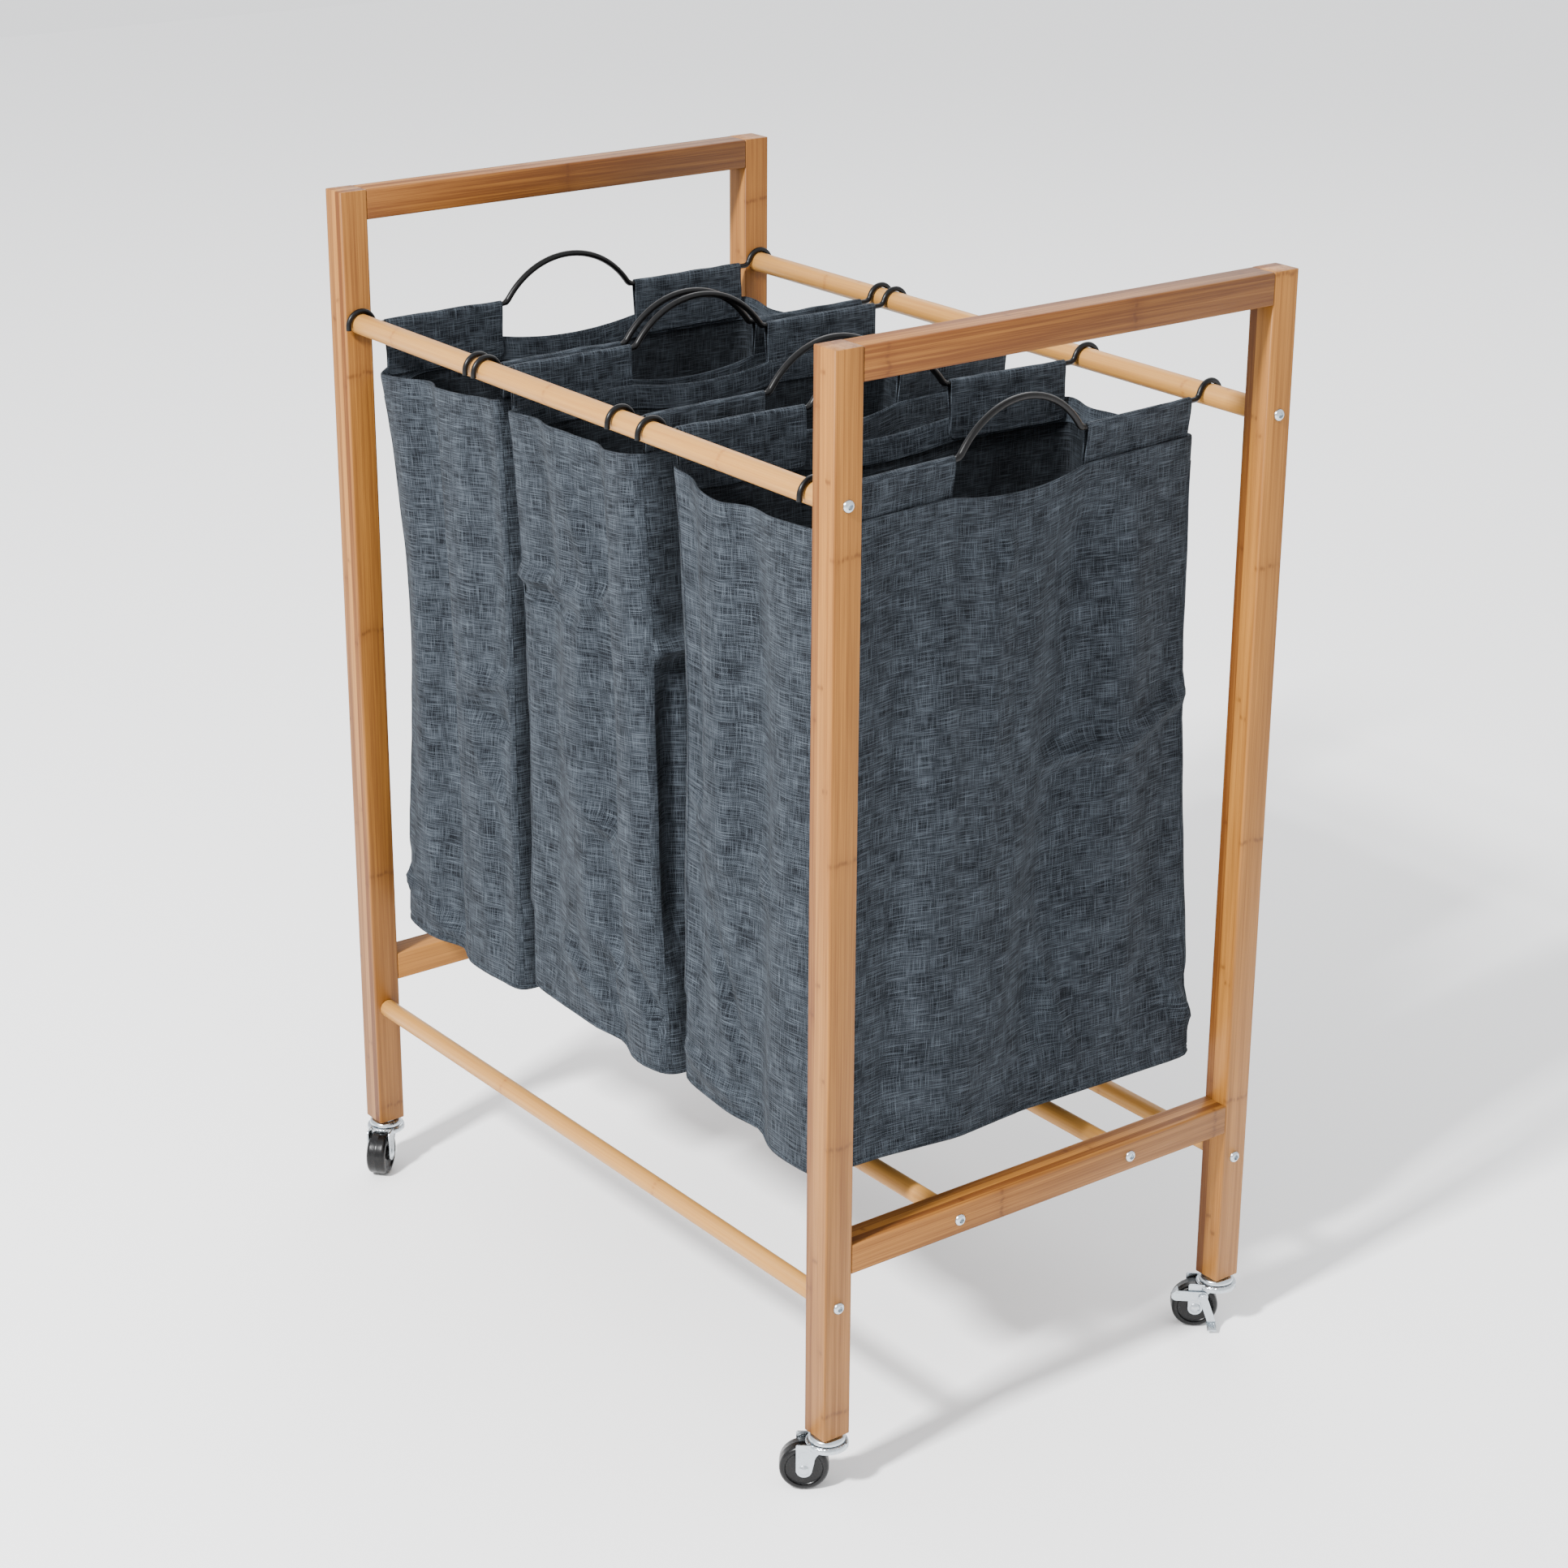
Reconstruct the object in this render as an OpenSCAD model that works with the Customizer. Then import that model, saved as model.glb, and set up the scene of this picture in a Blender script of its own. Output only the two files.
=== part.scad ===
// Laundry sorter on wheels. Two bamboo end frames are tied by six cross dowels.
// Three fabric bags hang on wire hangers that hook over the two upper dowels, and
// each post stands on a swivel caster. The two back casters have a side brake.
// Origin: on the floor, under the middle. +X is the right end, +Y is the back.

/* [Frame] */
// Length over the two end frames
frame_length = 710; // [710:2:800]
// Depth over the posts
frame_depth = 452; // [440:2:480]
// Length of each post
post_length = 880; // [860:5:960]
// Side of the square posts and rails
bar_side = 26; // [26:1:32]
// Chamfer on the long edges of posts and rails
bar_chamfer = 1.2; // [0.4:0.2:2]
// Height of the lower rails' middle above the post bottoms
lower_rail_z = 155.5; // [150:0.5:170]

/* [Dowels] */
// Diameter of the two dowels that carry the bags
hanging_dowel_d = 18; // [16:0.5:20]
// Height of the hanging dowels above the post bottoms
hanging_dowel_z = 766; // [740:2:790]
// Diameter of the four base dowels
base_dowel_d = 16; // [14:0.5:18]
// Height of the front and back base dowels above the post bottoms
base_dowel_z = 117; // [90:1:125]
// Distance of each middle base dowel from the centre plane
mid_dowel_y = 91.3; // [60:0.1:120]

/* [Fasteners] */
// Shank diameter of the frame bolts
bolt_d = 6; // [5:0.5:8]
// Depth of each bolt in its dowel
bolt_reach = 14; // [10:1:18]
// Diameter of the bolt heads
bolt_head_d = 10; // [9:0.5:12]
// Outer diameter of the threaded inserts in the dowel ends
insert_d = 9; // [8.5:0.5:10]
// Diameter of the glued pins in the rail joints
pin_d = 6; // [5:0.5:7]
// Length of the glued pins
pin_length = 28; // [20:1:30]

/* [Bags] */
// X of the left hangers over the front dowel, left bag first
left_hook_front = [-325, -124, 111]; // [-325:1:325]
// X of the left hangers over the back dowel
left_hook_back = [-325, -124, 130]; // [-325:1:325]
// X of the right hangers over the front dowel
right_hook_front = [-137, 69, 313]; // [-325:1:325]
// X of the right hangers over the back dowel
right_hook_back = [-144, 53, 277]; // [-325:1:325]
// Height of the bags' bottoms above the post bottoms
bag_bottom_z = 205; // [185:1:230]
// Height of the front and back panels' top edges above the post bottoms
bag_panel_top_z = 735; // [700:1:740]
// Thickness of the bag cloth, hems and bound seams included
bag_wall = 1.5; // [1:0.1:2.5]

/* [Hangers] */
// Diameter of the coated hanger wire
wire_d = 4; // [3:0.5:5]
// Height of the hangers' straight runs above the post bottoms
wire_run_z = 764.5; // [762:0.5:766]
// Radius of the hook at the middle of the wire
hook_r = 12.5; // [12.5:0.5:14]
// Half the distance between the two feet of the handle arch
arch_half = 70; // [50:1:90]
// Rise of the handle arch above the straight runs
arch_rise = 36; // [25:1:45]

/* [Casters] */
// Height from the floor to the post bottoms
caster_height = 50; // [48:1:60]
// Wheel diameter
wheel_d = 40; // [36:1:40]
// Wheel width
wheel_width = 18; // [14:0.5:18]
// Distance from the swivel axis to the axle
caster_trail = 18; // [16:0.5:22]
// Direction of each wheel from its swivel axis: front left, front right, back left, back right
caster_angle = [312, 232.6, 38.3, 232.6]; // [0:0.1:360]

/* [Hidden] */
$fn = 48;

bamboo = "#C8965A";
dowel_wood = "#E2B887";
zinc = "#C3C8CC";
black_plastic = "#1C1C1E";
coated_wire = "#141414";
cloth = "#4A5563";

// Frame positions
post_x = (frame_length - bar_side) / 2;
post_y = (frame_depth - bar_side) / 2;
clear_length = frame_length - 2 * bar_side;
rail_length = frame_depth - 2 * bar_side;
top_rail_z = post_length - bar_side / 2;
hook_y = post_y;

// Fits
slip = 0.05;
bolt_hole_d = bolt_d + 0.5;
bolt_head_h = 3;
insert_length = bolt_reach;
stem_d = 8;
stem_reach = 22;
stem_insert_d = 11;
stem_insert_length = 18;
pin_offset = 6;

// Hanger shape: hook, two bends and the arch are tangent arcs in one plane
bend_r = 6;
arch_bend_r = 8;
hook_gap = 0.5;
hook_tail = 3;
hook_centre_z = hanging_dowel_z + hanging_dowel_d / 2 + hook_gap + wire_d / 2 - hook_r;
hook_turn = acos(1 - (hook_centre_z + hook_r - wire_run_z) / (hook_r + bend_r));
run_end = hook_y - (hook_r + bend_r) * sin(hook_turn);
arch_turn = 2 * atan2(arch_rise, arch_half);
arch_r = arch_half / sin(arch_turn) - arch_bend_r;
arch_centre_z = wire_run_z + arch_rise - arch_r;

// Bag shape
sleeve_start = arch_half + 1;
sleeve_end = hook_y - 23;
sleeve_height = 48;
sleeve_d = 7;
sleeve_channel_d = wire_d + 1;
sleeve_web = 3;
bag_half_depth = hook_y - 15;
bag_side_top_z = wire_run_z - sleeve_height + 4;

// Caster shape, measured down from the post bottom
axle_z = wheel_d / 2 - caster_height;
axle_d = 5;
running = 0.08;
bell_r = 15;
bell_underside_z = -4.4;
crown_r = 17.5;
crown_top_z = -7;
sheet = 1.6;
crown_lip_z = -12;
kingpin_d = 8;
ball_d = 2.5;
ball_ring_r = 11;
ball_count = 14;
fork_gap = wheel_width + 1.2;
arm_outside = fork_gap / 2 + sheet;
boss_r = 6.5;
lever_y = arm_outside + 0.6;
lever_t = 1.5;
brake_pin = [12, -18];
brake_pin_d = 4;
brake_gap = 2.2;
brake_head_angle = 38;
brake_pedal = [4, -41];

function along(front, back, y) = front + (back - front) * (y + hook_y) / (2 * hook_y);

// --- Bars, dowels and fasteners ---

module bar_outline() {
    h = bar_side / 2;
    c = bar_chamfer;
    polygon([
        [-h + c, -h], [h - c, -h], [h, -h + c], [h, h - c],
        [h - c, h], [-h + c, h], [-h, h - c], [-h, -h + c]
    ]);
}

// Cylinder along X, centred on its own middle
module cylinder_x(d, length) {
    rotate([0, 90, 0]) cylinder(d = d, h = length, center = true);
}

// Cylinder along Y, centred on its own middle
module cylinder_y(d, length) {
    rotate([90, 0, 0]) cylinder(d = d, h = length, center = true);
}

// Two pins of one rail joint, across the seam at y
module joint_pins(x, y, z, d, length) {
    for (dz = [-pin_offset, pin_offset]) {
        translate([x, y, z + dz]) cylinder_y(d, length);
    }
}

module post(side_x, side_y) {
    color(bamboo)
    translate([side_x * post_x, side_y * post_y, caster_height])
    difference() {
        linear_extrude(post_length) bar_outline();
        for (z = [hanging_dowel_z, base_dowel_z]) {
            translate([0, 0, z]) cylinder_x(bolt_hole_d, bar_side + 2);
        }
        for (z = [top_rail_z, lower_rail_z]) {
            joint_pins(0, -side_y * bar_side / 2, z, pin_d + 2 * slip, pin_length + 1);
        }
        translate([0, 0, -1]) cylinder(d = stem_insert_d + 2 * slip, h = stem_insert_length + 1.5);
        translate([0, 0, 1]) cylinder(d = stem_d + 0.6, h = stem_reach + 1);
    }
}

module rail(side_x, z, bolted) {
    color(bamboo)
    translate([side_x * post_x, 0, caster_height + z])
    difference() {
        rotate([90, 0, 0]) linear_extrude(rail_length, center = true) bar_outline();
        for (side_y = [-1, 1]) {
            joint_pins(0, side_y * rail_length / 2, 0, pin_d + 2 * slip, pin_length + 1);
            if (bolted) translate([0, side_y * mid_dowel_y, 0]) cylinder_x(bolt_hole_d, bar_side + 2);
        }
    }
}

module dowel(y, z, d) {
    color(dowel_wood)
    translate([0, y, caster_height + z])
    difference() {
        cylinder_x(d, clear_length);
        for (side = [-1, 1]) {
            translate([side * clear_length / 2, 0, 0]) cylinder_x(insert_d + 2 * slip, 2 * insert_length + 0.2);
            translate([side * clear_length / 2, 0, 0]) cylinder_x(bolt_hole_d, 2 * insert_length + 6);
        }
    }
}

// Y and Z of each bolted dowel end, Z above the post bottoms
bolt_places = [
    [-post_y, hanging_dowel_z], [post_y, hanging_dowel_z],
    [-post_y, base_dowel_z], [post_y, base_dowel_z],
    [-mid_dowel_y, lower_rail_z], [mid_dowel_y, lower_rail_z]
];

// Button-head bolt along X: the head stands outside x = 0 and the shank runs inward
module bolt() {
    difference() {
        rotate([0, 90, 0]) rotate_extrude() polygon([
            [0, -bar_side - bolt_reach], [bolt_d / 2 - 0.6, -bar_side - bolt_reach],
            [bolt_d / 2, -bar_side - bolt_reach + 0.6], [bolt_d / 2, 0], [bolt_head_d / 2, 0],
            for (a = [0 : 15 : 75]) [bolt_head_d / 2 - bolt_head_h * (1 - cos(a)), bolt_head_h * sin(a)],
            [0, bolt_head_h]
        ]);
        translate([bolt_head_h, 0, 0]) rotate([0, 90, 0]) cylinder(d = 4.6, h = 4.4, center = true, $fn = 6);
    }
}

module frame_bolts() {
    color(zinc)
    for (p = bolt_places, side = [0, 1]) {
        mirror([side, 0, 0]) translate([frame_length / 2, p[0], caster_height + p[1]]) bolt();
    }
}

module dowel_inserts() {
    color(zinc)
    for (p = bolt_places, side = [-1, 1]) {
        translate([side * (clear_length - insert_length) / 2, p[0], caster_height + p[1]])
        difference() {
            cylinder_x(insert_d, insert_length);
            cylinder_x(bolt_d + 2 * slip, insert_length + 1);
        }
    }
}

module rail_joint_pins() {
    color(dowel_wood)
    for (side_x = [-1, 1], side_y = [-1, 1], z = [top_rail_z, lower_rail_z]) {
        joint_pins(side_x * post_x, side_y * rail_length / 2, caster_height + z, pin_d, pin_length);
    }
}

module stem_inserts() {
    color(zinc)
    for (side_x = [-1, 1], side_y = [-1, 1]) {
        translate([side_x * post_x, side_y * post_y, caster_height])
        difference() {
            cylinder(d = stem_insert_d, h = stem_insert_length);
            translate([0, 0, -1]) cylinder(d = stem_d + 2 * slip, h = stem_insert_length + 2);
        }
    }
}

// --- Casters: local origin at the post bottom on the swivel axis, wheel towards +X ---

module at_caster(i) {
    side_x = i % 2 == 0 ? -1 : 1;
    side_y = i < 2 ? -1 : 1;
    translate([side_x * post_x, side_y * post_y, caster_height]) rotate([0, 0, caster_angle[i]]) children();
}

// Threaded stem, collar, bell and riveted kingpin, turned as one
module caster_stem(i) {
    color(zinc)
    at_caster(i)
    rotate_extrude() polygon([
        [0, stem_reach], [3.2, stem_reach], [stem_d / 2, stem_reach - 0.8], [stem_d / 2, 0],
        [10, 0], [10, -2], [12.8, -2.3], [bell_r - 0.6, -3.4], [bell_r, -4.8], [bell_r, -6.2],
        [bell_r - 1.2, -6.2], [bell_r - 1.2, bell_underside_z], [kingpin_d / 2, bell_underside_z],
        [kingpin_d / 2, crown_top_z - sheet - 0.3], [6.5, crown_top_z - sheet - 0.3],
        [6.5, -9.8], [5, -10.5], [0, -10.5]
    ]);
}

// Ring of steel balls between the bell and the fork's crown
module caster_balls(i) {
    color(zinc)
    at_caster(i)
    for (k = [0 : ball_count - 1]) {
        rotate([0, 0, k * 360 / ball_count])
        translate([ball_ring_r, 0, (bell_underside_z + crown_top_z) / 2]) sphere(d = ball_d, $fn = 24);
    }
}

// Side view of one fork arm, X towards the wheel and Y up
module arm_outline() {
    difference() {
        union() {
            polygon([
                [-9, crown_top_z], [caster_trail + 5.4, crown_top_z], [caster_trail + boss_r, crown_top_z - 1.2],
                [caster_trail + boss_r, axle_z], [caster_trail - boss_r * cos(20), axle_z - boss_r * sin(20)],
                for (a = [0 : 15 : 75]) [-1 + 11 * cos(a), -23.5 + 11 * sin(a)],
                [-9, crown_lip_z]
            ]);
            translate([caster_trail, axle_z]) circle(r = boss_r);
        }
        translate([caster_trail, axle_z]) circle(d = axle_d + 2 * slip);
    }
}

// Stamped fork: dished crown with a turned-down lip, and two arms beside the wheel
module caster_fork(i, braked) {
    color(zinc)
    at_caster(i)
    difference() {
        union() {
            difference() {
                rotate_extrude() polygon([
                    [kingpin_d / 2 + running, crown_top_z], [crown_r - 2, crown_top_z],
                    [crown_r - 0.6, crown_top_z - 0.8], [crown_r, crown_top_z - 2.2], [crown_r, crown_lip_z],
                    [crown_r - sheet, crown_lip_z], [crown_r - sheet, crown_top_z - sheet],
                    [kingpin_d / 2 + running, crown_top_z - sheet]
                ]);
                translate([6, -fork_gap / 2, -20]) cube([20, fork_gap, 20 + crown_top_z - sheet]);
            }
            for (side = [0, 1]) {
                mirror([0, side, 0]) translate([0, arm_outside, 0]) rotate([90, 0, 0])
                linear_extrude(sheet) arm_outline();
            }
        }
        if (braked) {
            translate([brake_pin[0], arm_outside, brake_pin[1]]) cylinder_y(brake_pin_d + 2 * slip, 4 * sheet);
        }
    }
}

// Riveted axle with two domed heads
module caster_axle(i) {
    head_r = 4.6;
    head_h = 1.8;
    dome_r = (head_r * head_r + head_h * head_h) / (2 * head_h);
    color(zinc)
    at_caster(i)
    translate([caster_trail, 0, axle_z]) {
        cylinder_y(axle_d, 2 * arm_outside + 0.4);
        for (side = [0, 1]) {
            mirror([0, side, 0])
            intersection() {
                translate([0, arm_outside + head_h - dome_r, 0]) sphere(r = dome_r);
                translate([0, arm_outside + head_h / 2, 0]) cylinder_y(2 * head_r, head_h);
            }
        }
    }
}

// Solid wheel with a rounded tread, dished faces and a hub
module caster_wheel(i) {
    r = wheel_d / 2;
    h = wheel_width / 2;
    edge = 2.2;
    hub_r = 6.5;
    rim_r = r - 4.5;
    dish = 2.2;
    half = [
        [axle_d / 2 + running, h + 0.3], [hub_r, h + 0.3], [hub_r + 0.5, h - dish],
        [rim_r - 0.6, h - dish], [rim_r, h],
        for (a = [90 : -15 : 0]) [r - edge + edge * cos(a), h - edge + edge * sin(a)]
    ];
    color(black_plastic)
    at_caster(i)
    translate([caster_trail, 0, axle_z]) rotate([90, 0, 0])
    rotate_extrude($fn = 72) polygon(concat(half, [for (k = [len(half) - 1 : -1 : 0]) [half[k][0], -half[k][1]]]));
}

// Straight strap with round ends in 2D
module strap(p, q, width) {
    d = q - p;
    translate(p) circle(d = width);
    translate(q) circle(d = width);
    translate(p) rotate(atan2(d[1], d[0])) translate([0, -width / 2]) square([norm(d), width]);
}

// Brake lever beside the wheel: head over the tread, pivot on the arm, ribbed pedal outside
module brake_lever(i) {
    head_r = wheel_d / 2 + brake_gap;
    axle = [caster_trail, axle_z];
    head = axle + (head_r - 1) * [cos(brake_head_angle), sin(brake_head_angle)];
    color(zinc)
    at_caster(i) {
        difference() {
            translate([0, lever_y + lever_t, 0]) rotate([90, 0, 0]) linear_extrude(lever_t) {
                strap(head, brake_pin, 9);
                strap(brake_pin, brake_pedal, 7);
            }
            translate([brake_pin[0], lever_y, brake_pin[1]]) cylinder_y(brake_pin_d + 2 * running, 6 * lever_t);
        }
        translate([caster_trail, lever_y + lever_t, axle_z]) rotate([90, 0, 0])
        rotate([0, 0, brake_head_angle - 11]) rotate_extrude(angle = 22)
        translate([head_r, 0]) square([lever_t, lever_t + 8]);
        translate([brake_pedal[0], lever_y + 0.2, brake_pedal[1] - 2]) rotate([-24, 0, 0]) {
            translate([-4, 0, 0]) cube([8, 10, lever_t]);
            for (dx = [-2.4, 0, 2.4]) {
                translate([dx, 5.6, lever_t]) cylinder_y(1.1, 6);
            }
        }
    }
}

// Rivet that carries the brake lever
module brake_pivot(i) {
    color(zinc)
    at_caster(i)
    translate([brake_pin[0], 0, brake_pin[1]]) {
        translate([0, arm_outside + 1.2, 0]) cylinder_y(brake_pin_d, 2 * sheet + 2.2);
        translate([0, lever_y + lever_t + 0.9, 0]) cylinder_y(7, 1.2);
    }
}

// --- Bags ---

// Places a hanger or sleeve in its own upright plane through the two hooks
module in_hanger_plane(front, back) {
    translate([(front + back) / 2, 0, caster_height])
    rotate([0, 0, -atan2(back - front, 2 * hook_y)])
    children();
}

// Rings of wire on an arc, each [along, up, heading, size]. A sweep below 0 runs clockwise
function arc_rings(centre, radius, start, sweep, steps) = [
    for (k = [0 : steps])
        let (a = start + sweep * k / steps)
        [centre[0] + radius * cos(a), centre[1] + radius * sin(a), a + sign(sweep) * 90, 1]
];

// From the tip of one hook to the foot of the handle arch
function half_hanger() = concat(
    [
        for (a = [10, 45])
            [hook_y + hook_r, hook_centre_z - hook_tail - wire_d / 2 * cos(a), 90, sin(a)]
    ],
    [[hook_y + hook_r, hook_centre_z - hook_tail, 90, 1]],
    arc_rings([hook_y, hook_centre_z], hook_r, 0, 90 + hook_turn, 11),
    arc_rings([run_end, wire_run_z + bend_r], bend_r, hook_turn - 90, -hook_turn, 4),
    arc_rings([arch_half, wire_run_z + arch_bend_r], arch_bend_r, -90, -arch_turn, 4)
);

// The same half on the other side, walked the other way
function mirrored_back(half) = [
    for (k = [len(half) - 1 : -1 : 0]) [-half[k][0], half[k][1], -half[k][2], half[k][3]]
];

function drop_ends(rings) = [for (k = [1 : len(rings) - 2]) rings[k]];

// One hanger: hook, run, handle arch, run, hook, swept along its own plane
module hanger(front, back) {
    sides = 10;
    half = half_hanger();
    arch = drop_ends(arc_rings([0, arch_centre_z], arch_r, 90 - arch_turn, 2 * arch_turn, 14));
    rings = concat(half, arch, mirrored_back(half));
    points = [
        for (ring = rings, s = [0 : sides - 1])
            let (
                r = wire_d / 2 * ring[3],
                a = 360 * s / sides,
                out = r * cos(a)
            )
            [r * sin(a), ring[0] - out * sin(ring[2]), ring[1] + out * cos(ring[2])]
    ];
    walls = [
        for (k = [0 : len(rings) - 2], s = [0 : sides - 1])
            let (
                a = k * sides + s,
                b = k * sides + (s + 1) % sides
            )
            each [[a, b, a + sides], [b, b + sides, a + sides]]
    ];
    last = (len(rings) - 1) * sides;
    caps = [
        [for (s = [sides - 1 : -1 : 0]) s],
        [for (s = [0 : sides - 1]) last + s]
    ];
    color(coated_wire)
    in_hanger_plane(front, back)
    polyhedron(points, concat(walls, caps));
}

// Sewn sleeves of one side panel: a channel round the wire on a doubled hem
module sleeves(front, back) {
    in_hanger_plane(front, back)
    for (side = [0, 1]) {
        mirror([0, side, 0])
        translate([0, sleeve_end, wire_run_z]) rotate([90, 0, 0])
        linear_extrude(sleeve_end - sleeve_start)
        difference() {
            union() {
                circle(d = sleeve_d);
                translate([-sleeve_web / 2, -sleeve_height]) square([sleeve_web, sleeve_height]);
            }
            circle(d = sleeve_channel_d);
        }
    }
}

// Plan of a bag between its two hangers, drawn in by inset
module bag_plan(b, inset) {
    y = bag_half_depth - inset;
    grow = bag_wall / 2 - inset;
    polygon([
        [along(left_hook_front[b], left_hook_back[b], -y) - grow, -y],
        [along(right_hook_front[b], right_hook_back[b], -y) + grow, -y],
        [along(right_hook_front[b], right_hook_back[b], y) + grow, y],
        [along(left_hook_front[b], left_hook_back[b], y) - grow, y]
    ]);
}

// Open-topped bag with sleeves standing above its side panels
module bag_fabric(b) {
    side_cut = bag_half_depth - 2;
    color(cloth) {
        difference() {
            translate([0, 0, caster_height + bag_bottom_z])
            linear_extrude(bag_panel_top_z - bag_bottom_z) bag_plan(b, 0);
            translate([0, 0, caster_height + bag_bottom_z + bag_wall])
            linear_extrude(bag_panel_top_z - bag_bottom_z) bag_plan(b, bag_wall);
            translate([-frame_length, -side_cut, caster_height + bag_side_top_z])
            cube([2 * frame_length, 2 * side_cut, post_length]);
        }
        sleeves(left_hook_front[b], left_hook_back[b]);
        sleeves(right_hook_front[b], right_hook_back[b]);
    }
}

module left_hanger(b) {
    hanger(left_hook_front[b], left_hook_back[b]);
}

module right_hanger(b) {
    hanger(right_hook_front[b], right_hook_back[b]);
}

post(-1, -1);  // post_front_left
post(1, -1);  // post_front_right
post(-1, 1);  // post_back_left
post(1, 1);  // post_back_right
rail(-1, top_rail_z, false);  // top_rail_left
rail(1, top_rail_z, false);  // top_rail_right
rail(-1, lower_rail_z, true);  // lower_rail_left
rail(1, lower_rail_z, true);  // lower_rail_right
dowel(-post_y, hanging_dowel_z, hanging_dowel_d);  // hanging_dowel_front
dowel(post_y, hanging_dowel_z, hanging_dowel_d);  // hanging_dowel_back
dowel(-post_y, base_dowel_z, base_dowel_d);  // base_dowel_front
dowel(post_y, base_dowel_z, base_dowel_d);  // base_dowel_back
dowel(-mid_dowel_y, lower_rail_z, base_dowel_d);  // base_dowel_mid_front
dowel(mid_dowel_y, lower_rail_z, base_dowel_d);  // base_dowel_mid_back
frame_bolts();
dowel_inserts();
rail_joint_pins();
stem_inserts();
caster_stem(0);  // caster_front_left_stem
caster_stem(1);  // caster_front_right_stem
caster_stem(2);  // caster_back_left_stem
caster_stem(3);  // caster_back_right_stem
caster_balls(0);  // caster_front_left_balls
caster_balls(1);  // caster_front_right_balls
caster_balls(2);  // caster_back_left_balls
caster_balls(3);  // caster_back_right_balls
caster_fork(0, false);  // caster_front_left_fork
caster_fork(1, false);  // caster_front_right_fork
caster_fork(2, true);  // caster_back_left_fork
caster_fork(3, true);  // caster_back_right_fork
caster_axle(0);  // caster_front_left_axle
caster_axle(1);  // caster_front_right_axle
caster_axle(2);  // caster_back_left_axle
caster_axle(3);  // caster_back_right_axle
caster_wheel(0);  // caster_front_left_wheel
caster_wheel(1);  // caster_front_right_wheel
caster_wheel(2);  // caster_back_left_wheel
caster_wheel(3);  // caster_back_right_wheel
brake_lever(2);  // brake_lever_back_left
brake_lever(3);  // brake_lever_back_right
brake_pivot(2);  // brake_pin_back_left
brake_pivot(3);  // brake_pin_back_right
bag_fabric(0);  // bag_left_fabric
bag_fabric(1);  // bag_middle_fabric
bag_fabric(2);  // bag_right_fabric
left_hanger(0);  // bag_left_hanger_left
right_hanger(0);  // bag_left_hanger_right
left_hanger(1);  // bag_middle_hanger_left
right_hanger(1);  // bag_middle_hanger_right
left_hanger(2);  // bag_right_hanger_left
right_hanger(2);  // bag_right_hanger_right
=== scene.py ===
"""Looks for a three-bag laundry sorter on wheels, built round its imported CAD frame."""

import bisect
import logging
import math
from collections.abc import Callable, Sequence
from dataclasses import dataclass, field
from enum import Enum

import bmesh
import bpy
from mathutils import Matrix, Vector, noise


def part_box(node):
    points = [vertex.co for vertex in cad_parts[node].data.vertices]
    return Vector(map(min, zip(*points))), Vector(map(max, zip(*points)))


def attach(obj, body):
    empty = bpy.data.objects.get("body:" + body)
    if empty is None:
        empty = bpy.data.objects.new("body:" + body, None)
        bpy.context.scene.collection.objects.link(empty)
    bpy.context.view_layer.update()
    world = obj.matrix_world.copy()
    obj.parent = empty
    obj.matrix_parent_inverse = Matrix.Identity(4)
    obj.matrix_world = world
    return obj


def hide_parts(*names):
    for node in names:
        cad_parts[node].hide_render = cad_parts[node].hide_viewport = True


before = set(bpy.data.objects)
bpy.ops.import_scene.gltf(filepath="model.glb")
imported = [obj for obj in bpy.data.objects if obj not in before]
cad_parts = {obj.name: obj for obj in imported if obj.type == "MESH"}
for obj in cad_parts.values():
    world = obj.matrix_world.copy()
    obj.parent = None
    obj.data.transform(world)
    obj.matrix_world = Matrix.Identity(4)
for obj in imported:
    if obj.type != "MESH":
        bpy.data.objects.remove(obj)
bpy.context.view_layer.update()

log = logging.getLogger("laundry_sorter")

POST_BOTTOM = 0.050
POST_X = 0.342
HOOK_Y = 0.213
BASE_Z = 0.255
SIDE_HALF = 0.198
SETTLE_LIMIT = 0.020
OFF_CLOTH = 0.002
FOLD_FADE = 0.12

Colour = tuple[float, float, float, float]
Point = tuple[float, float, float]
Ring = tuple[float, float]


class Corner(Enum):
    """Corner of the frame, with its sides along X and Y and its caster's heading in degrees."""

    FRONT_LEFT = (-1, -1, 312.0)
    FRONT_RIGHT = (1, -1, 232.6)
    BACK_LEFT = (-1, 1, 38.3)
    BACK_RIGHT = (1, 1, 232.6)

    @property
    def label(self) -> str:
        """Name as the frame's bodies write it."""
        return self.name.lower()

    @property
    def braked(self) -> bool:
        """True for the two casters with a brake lever."""
        return self.value[1] > 0

    @property
    def placement(self) -> Matrix:
        """Matrix from the caster's own axes, wheel towards +X, to its place under the post."""
        side_x, side_y, heading = self.value
        spot = Matrix.Translation((side_x * POST_X, side_y * HOOK_Y, POST_BOTTOM))
        return spot @ Matrix.Rotation(math.radians(heading), 4, "Z")


class Grain(Enum):
    """Run of the fibres in a bamboo part, as the turn that brings them to local X."""

    ALONG_X = (0.0, 0.0, 0.0)
    ALONG_Y = (0.0, 0.0, math.radians(90))
    ALONG_Z = (0.0, math.radians(90), 0.0)


# --- Bench: the hand tools of modelling -------------------------------------------------


def clamped(value: float) -> float:
    """Value held between 0 and 1."""
    return min(1.0, max(0.0, value))


def off_cloth(spot: Vector, middle_x: float) -> Vector:
    """Move a point a little outward from a bag's upright middle line.

    Args:
        spot: Point on the cloth.
        middle_x: X of the bag's middle line.

    Returns:
        The moved point.
    """
    return spot + (spot - Vector((middle_x, 0, spot.z))).normalized() * OFF_CLOTH


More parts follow.
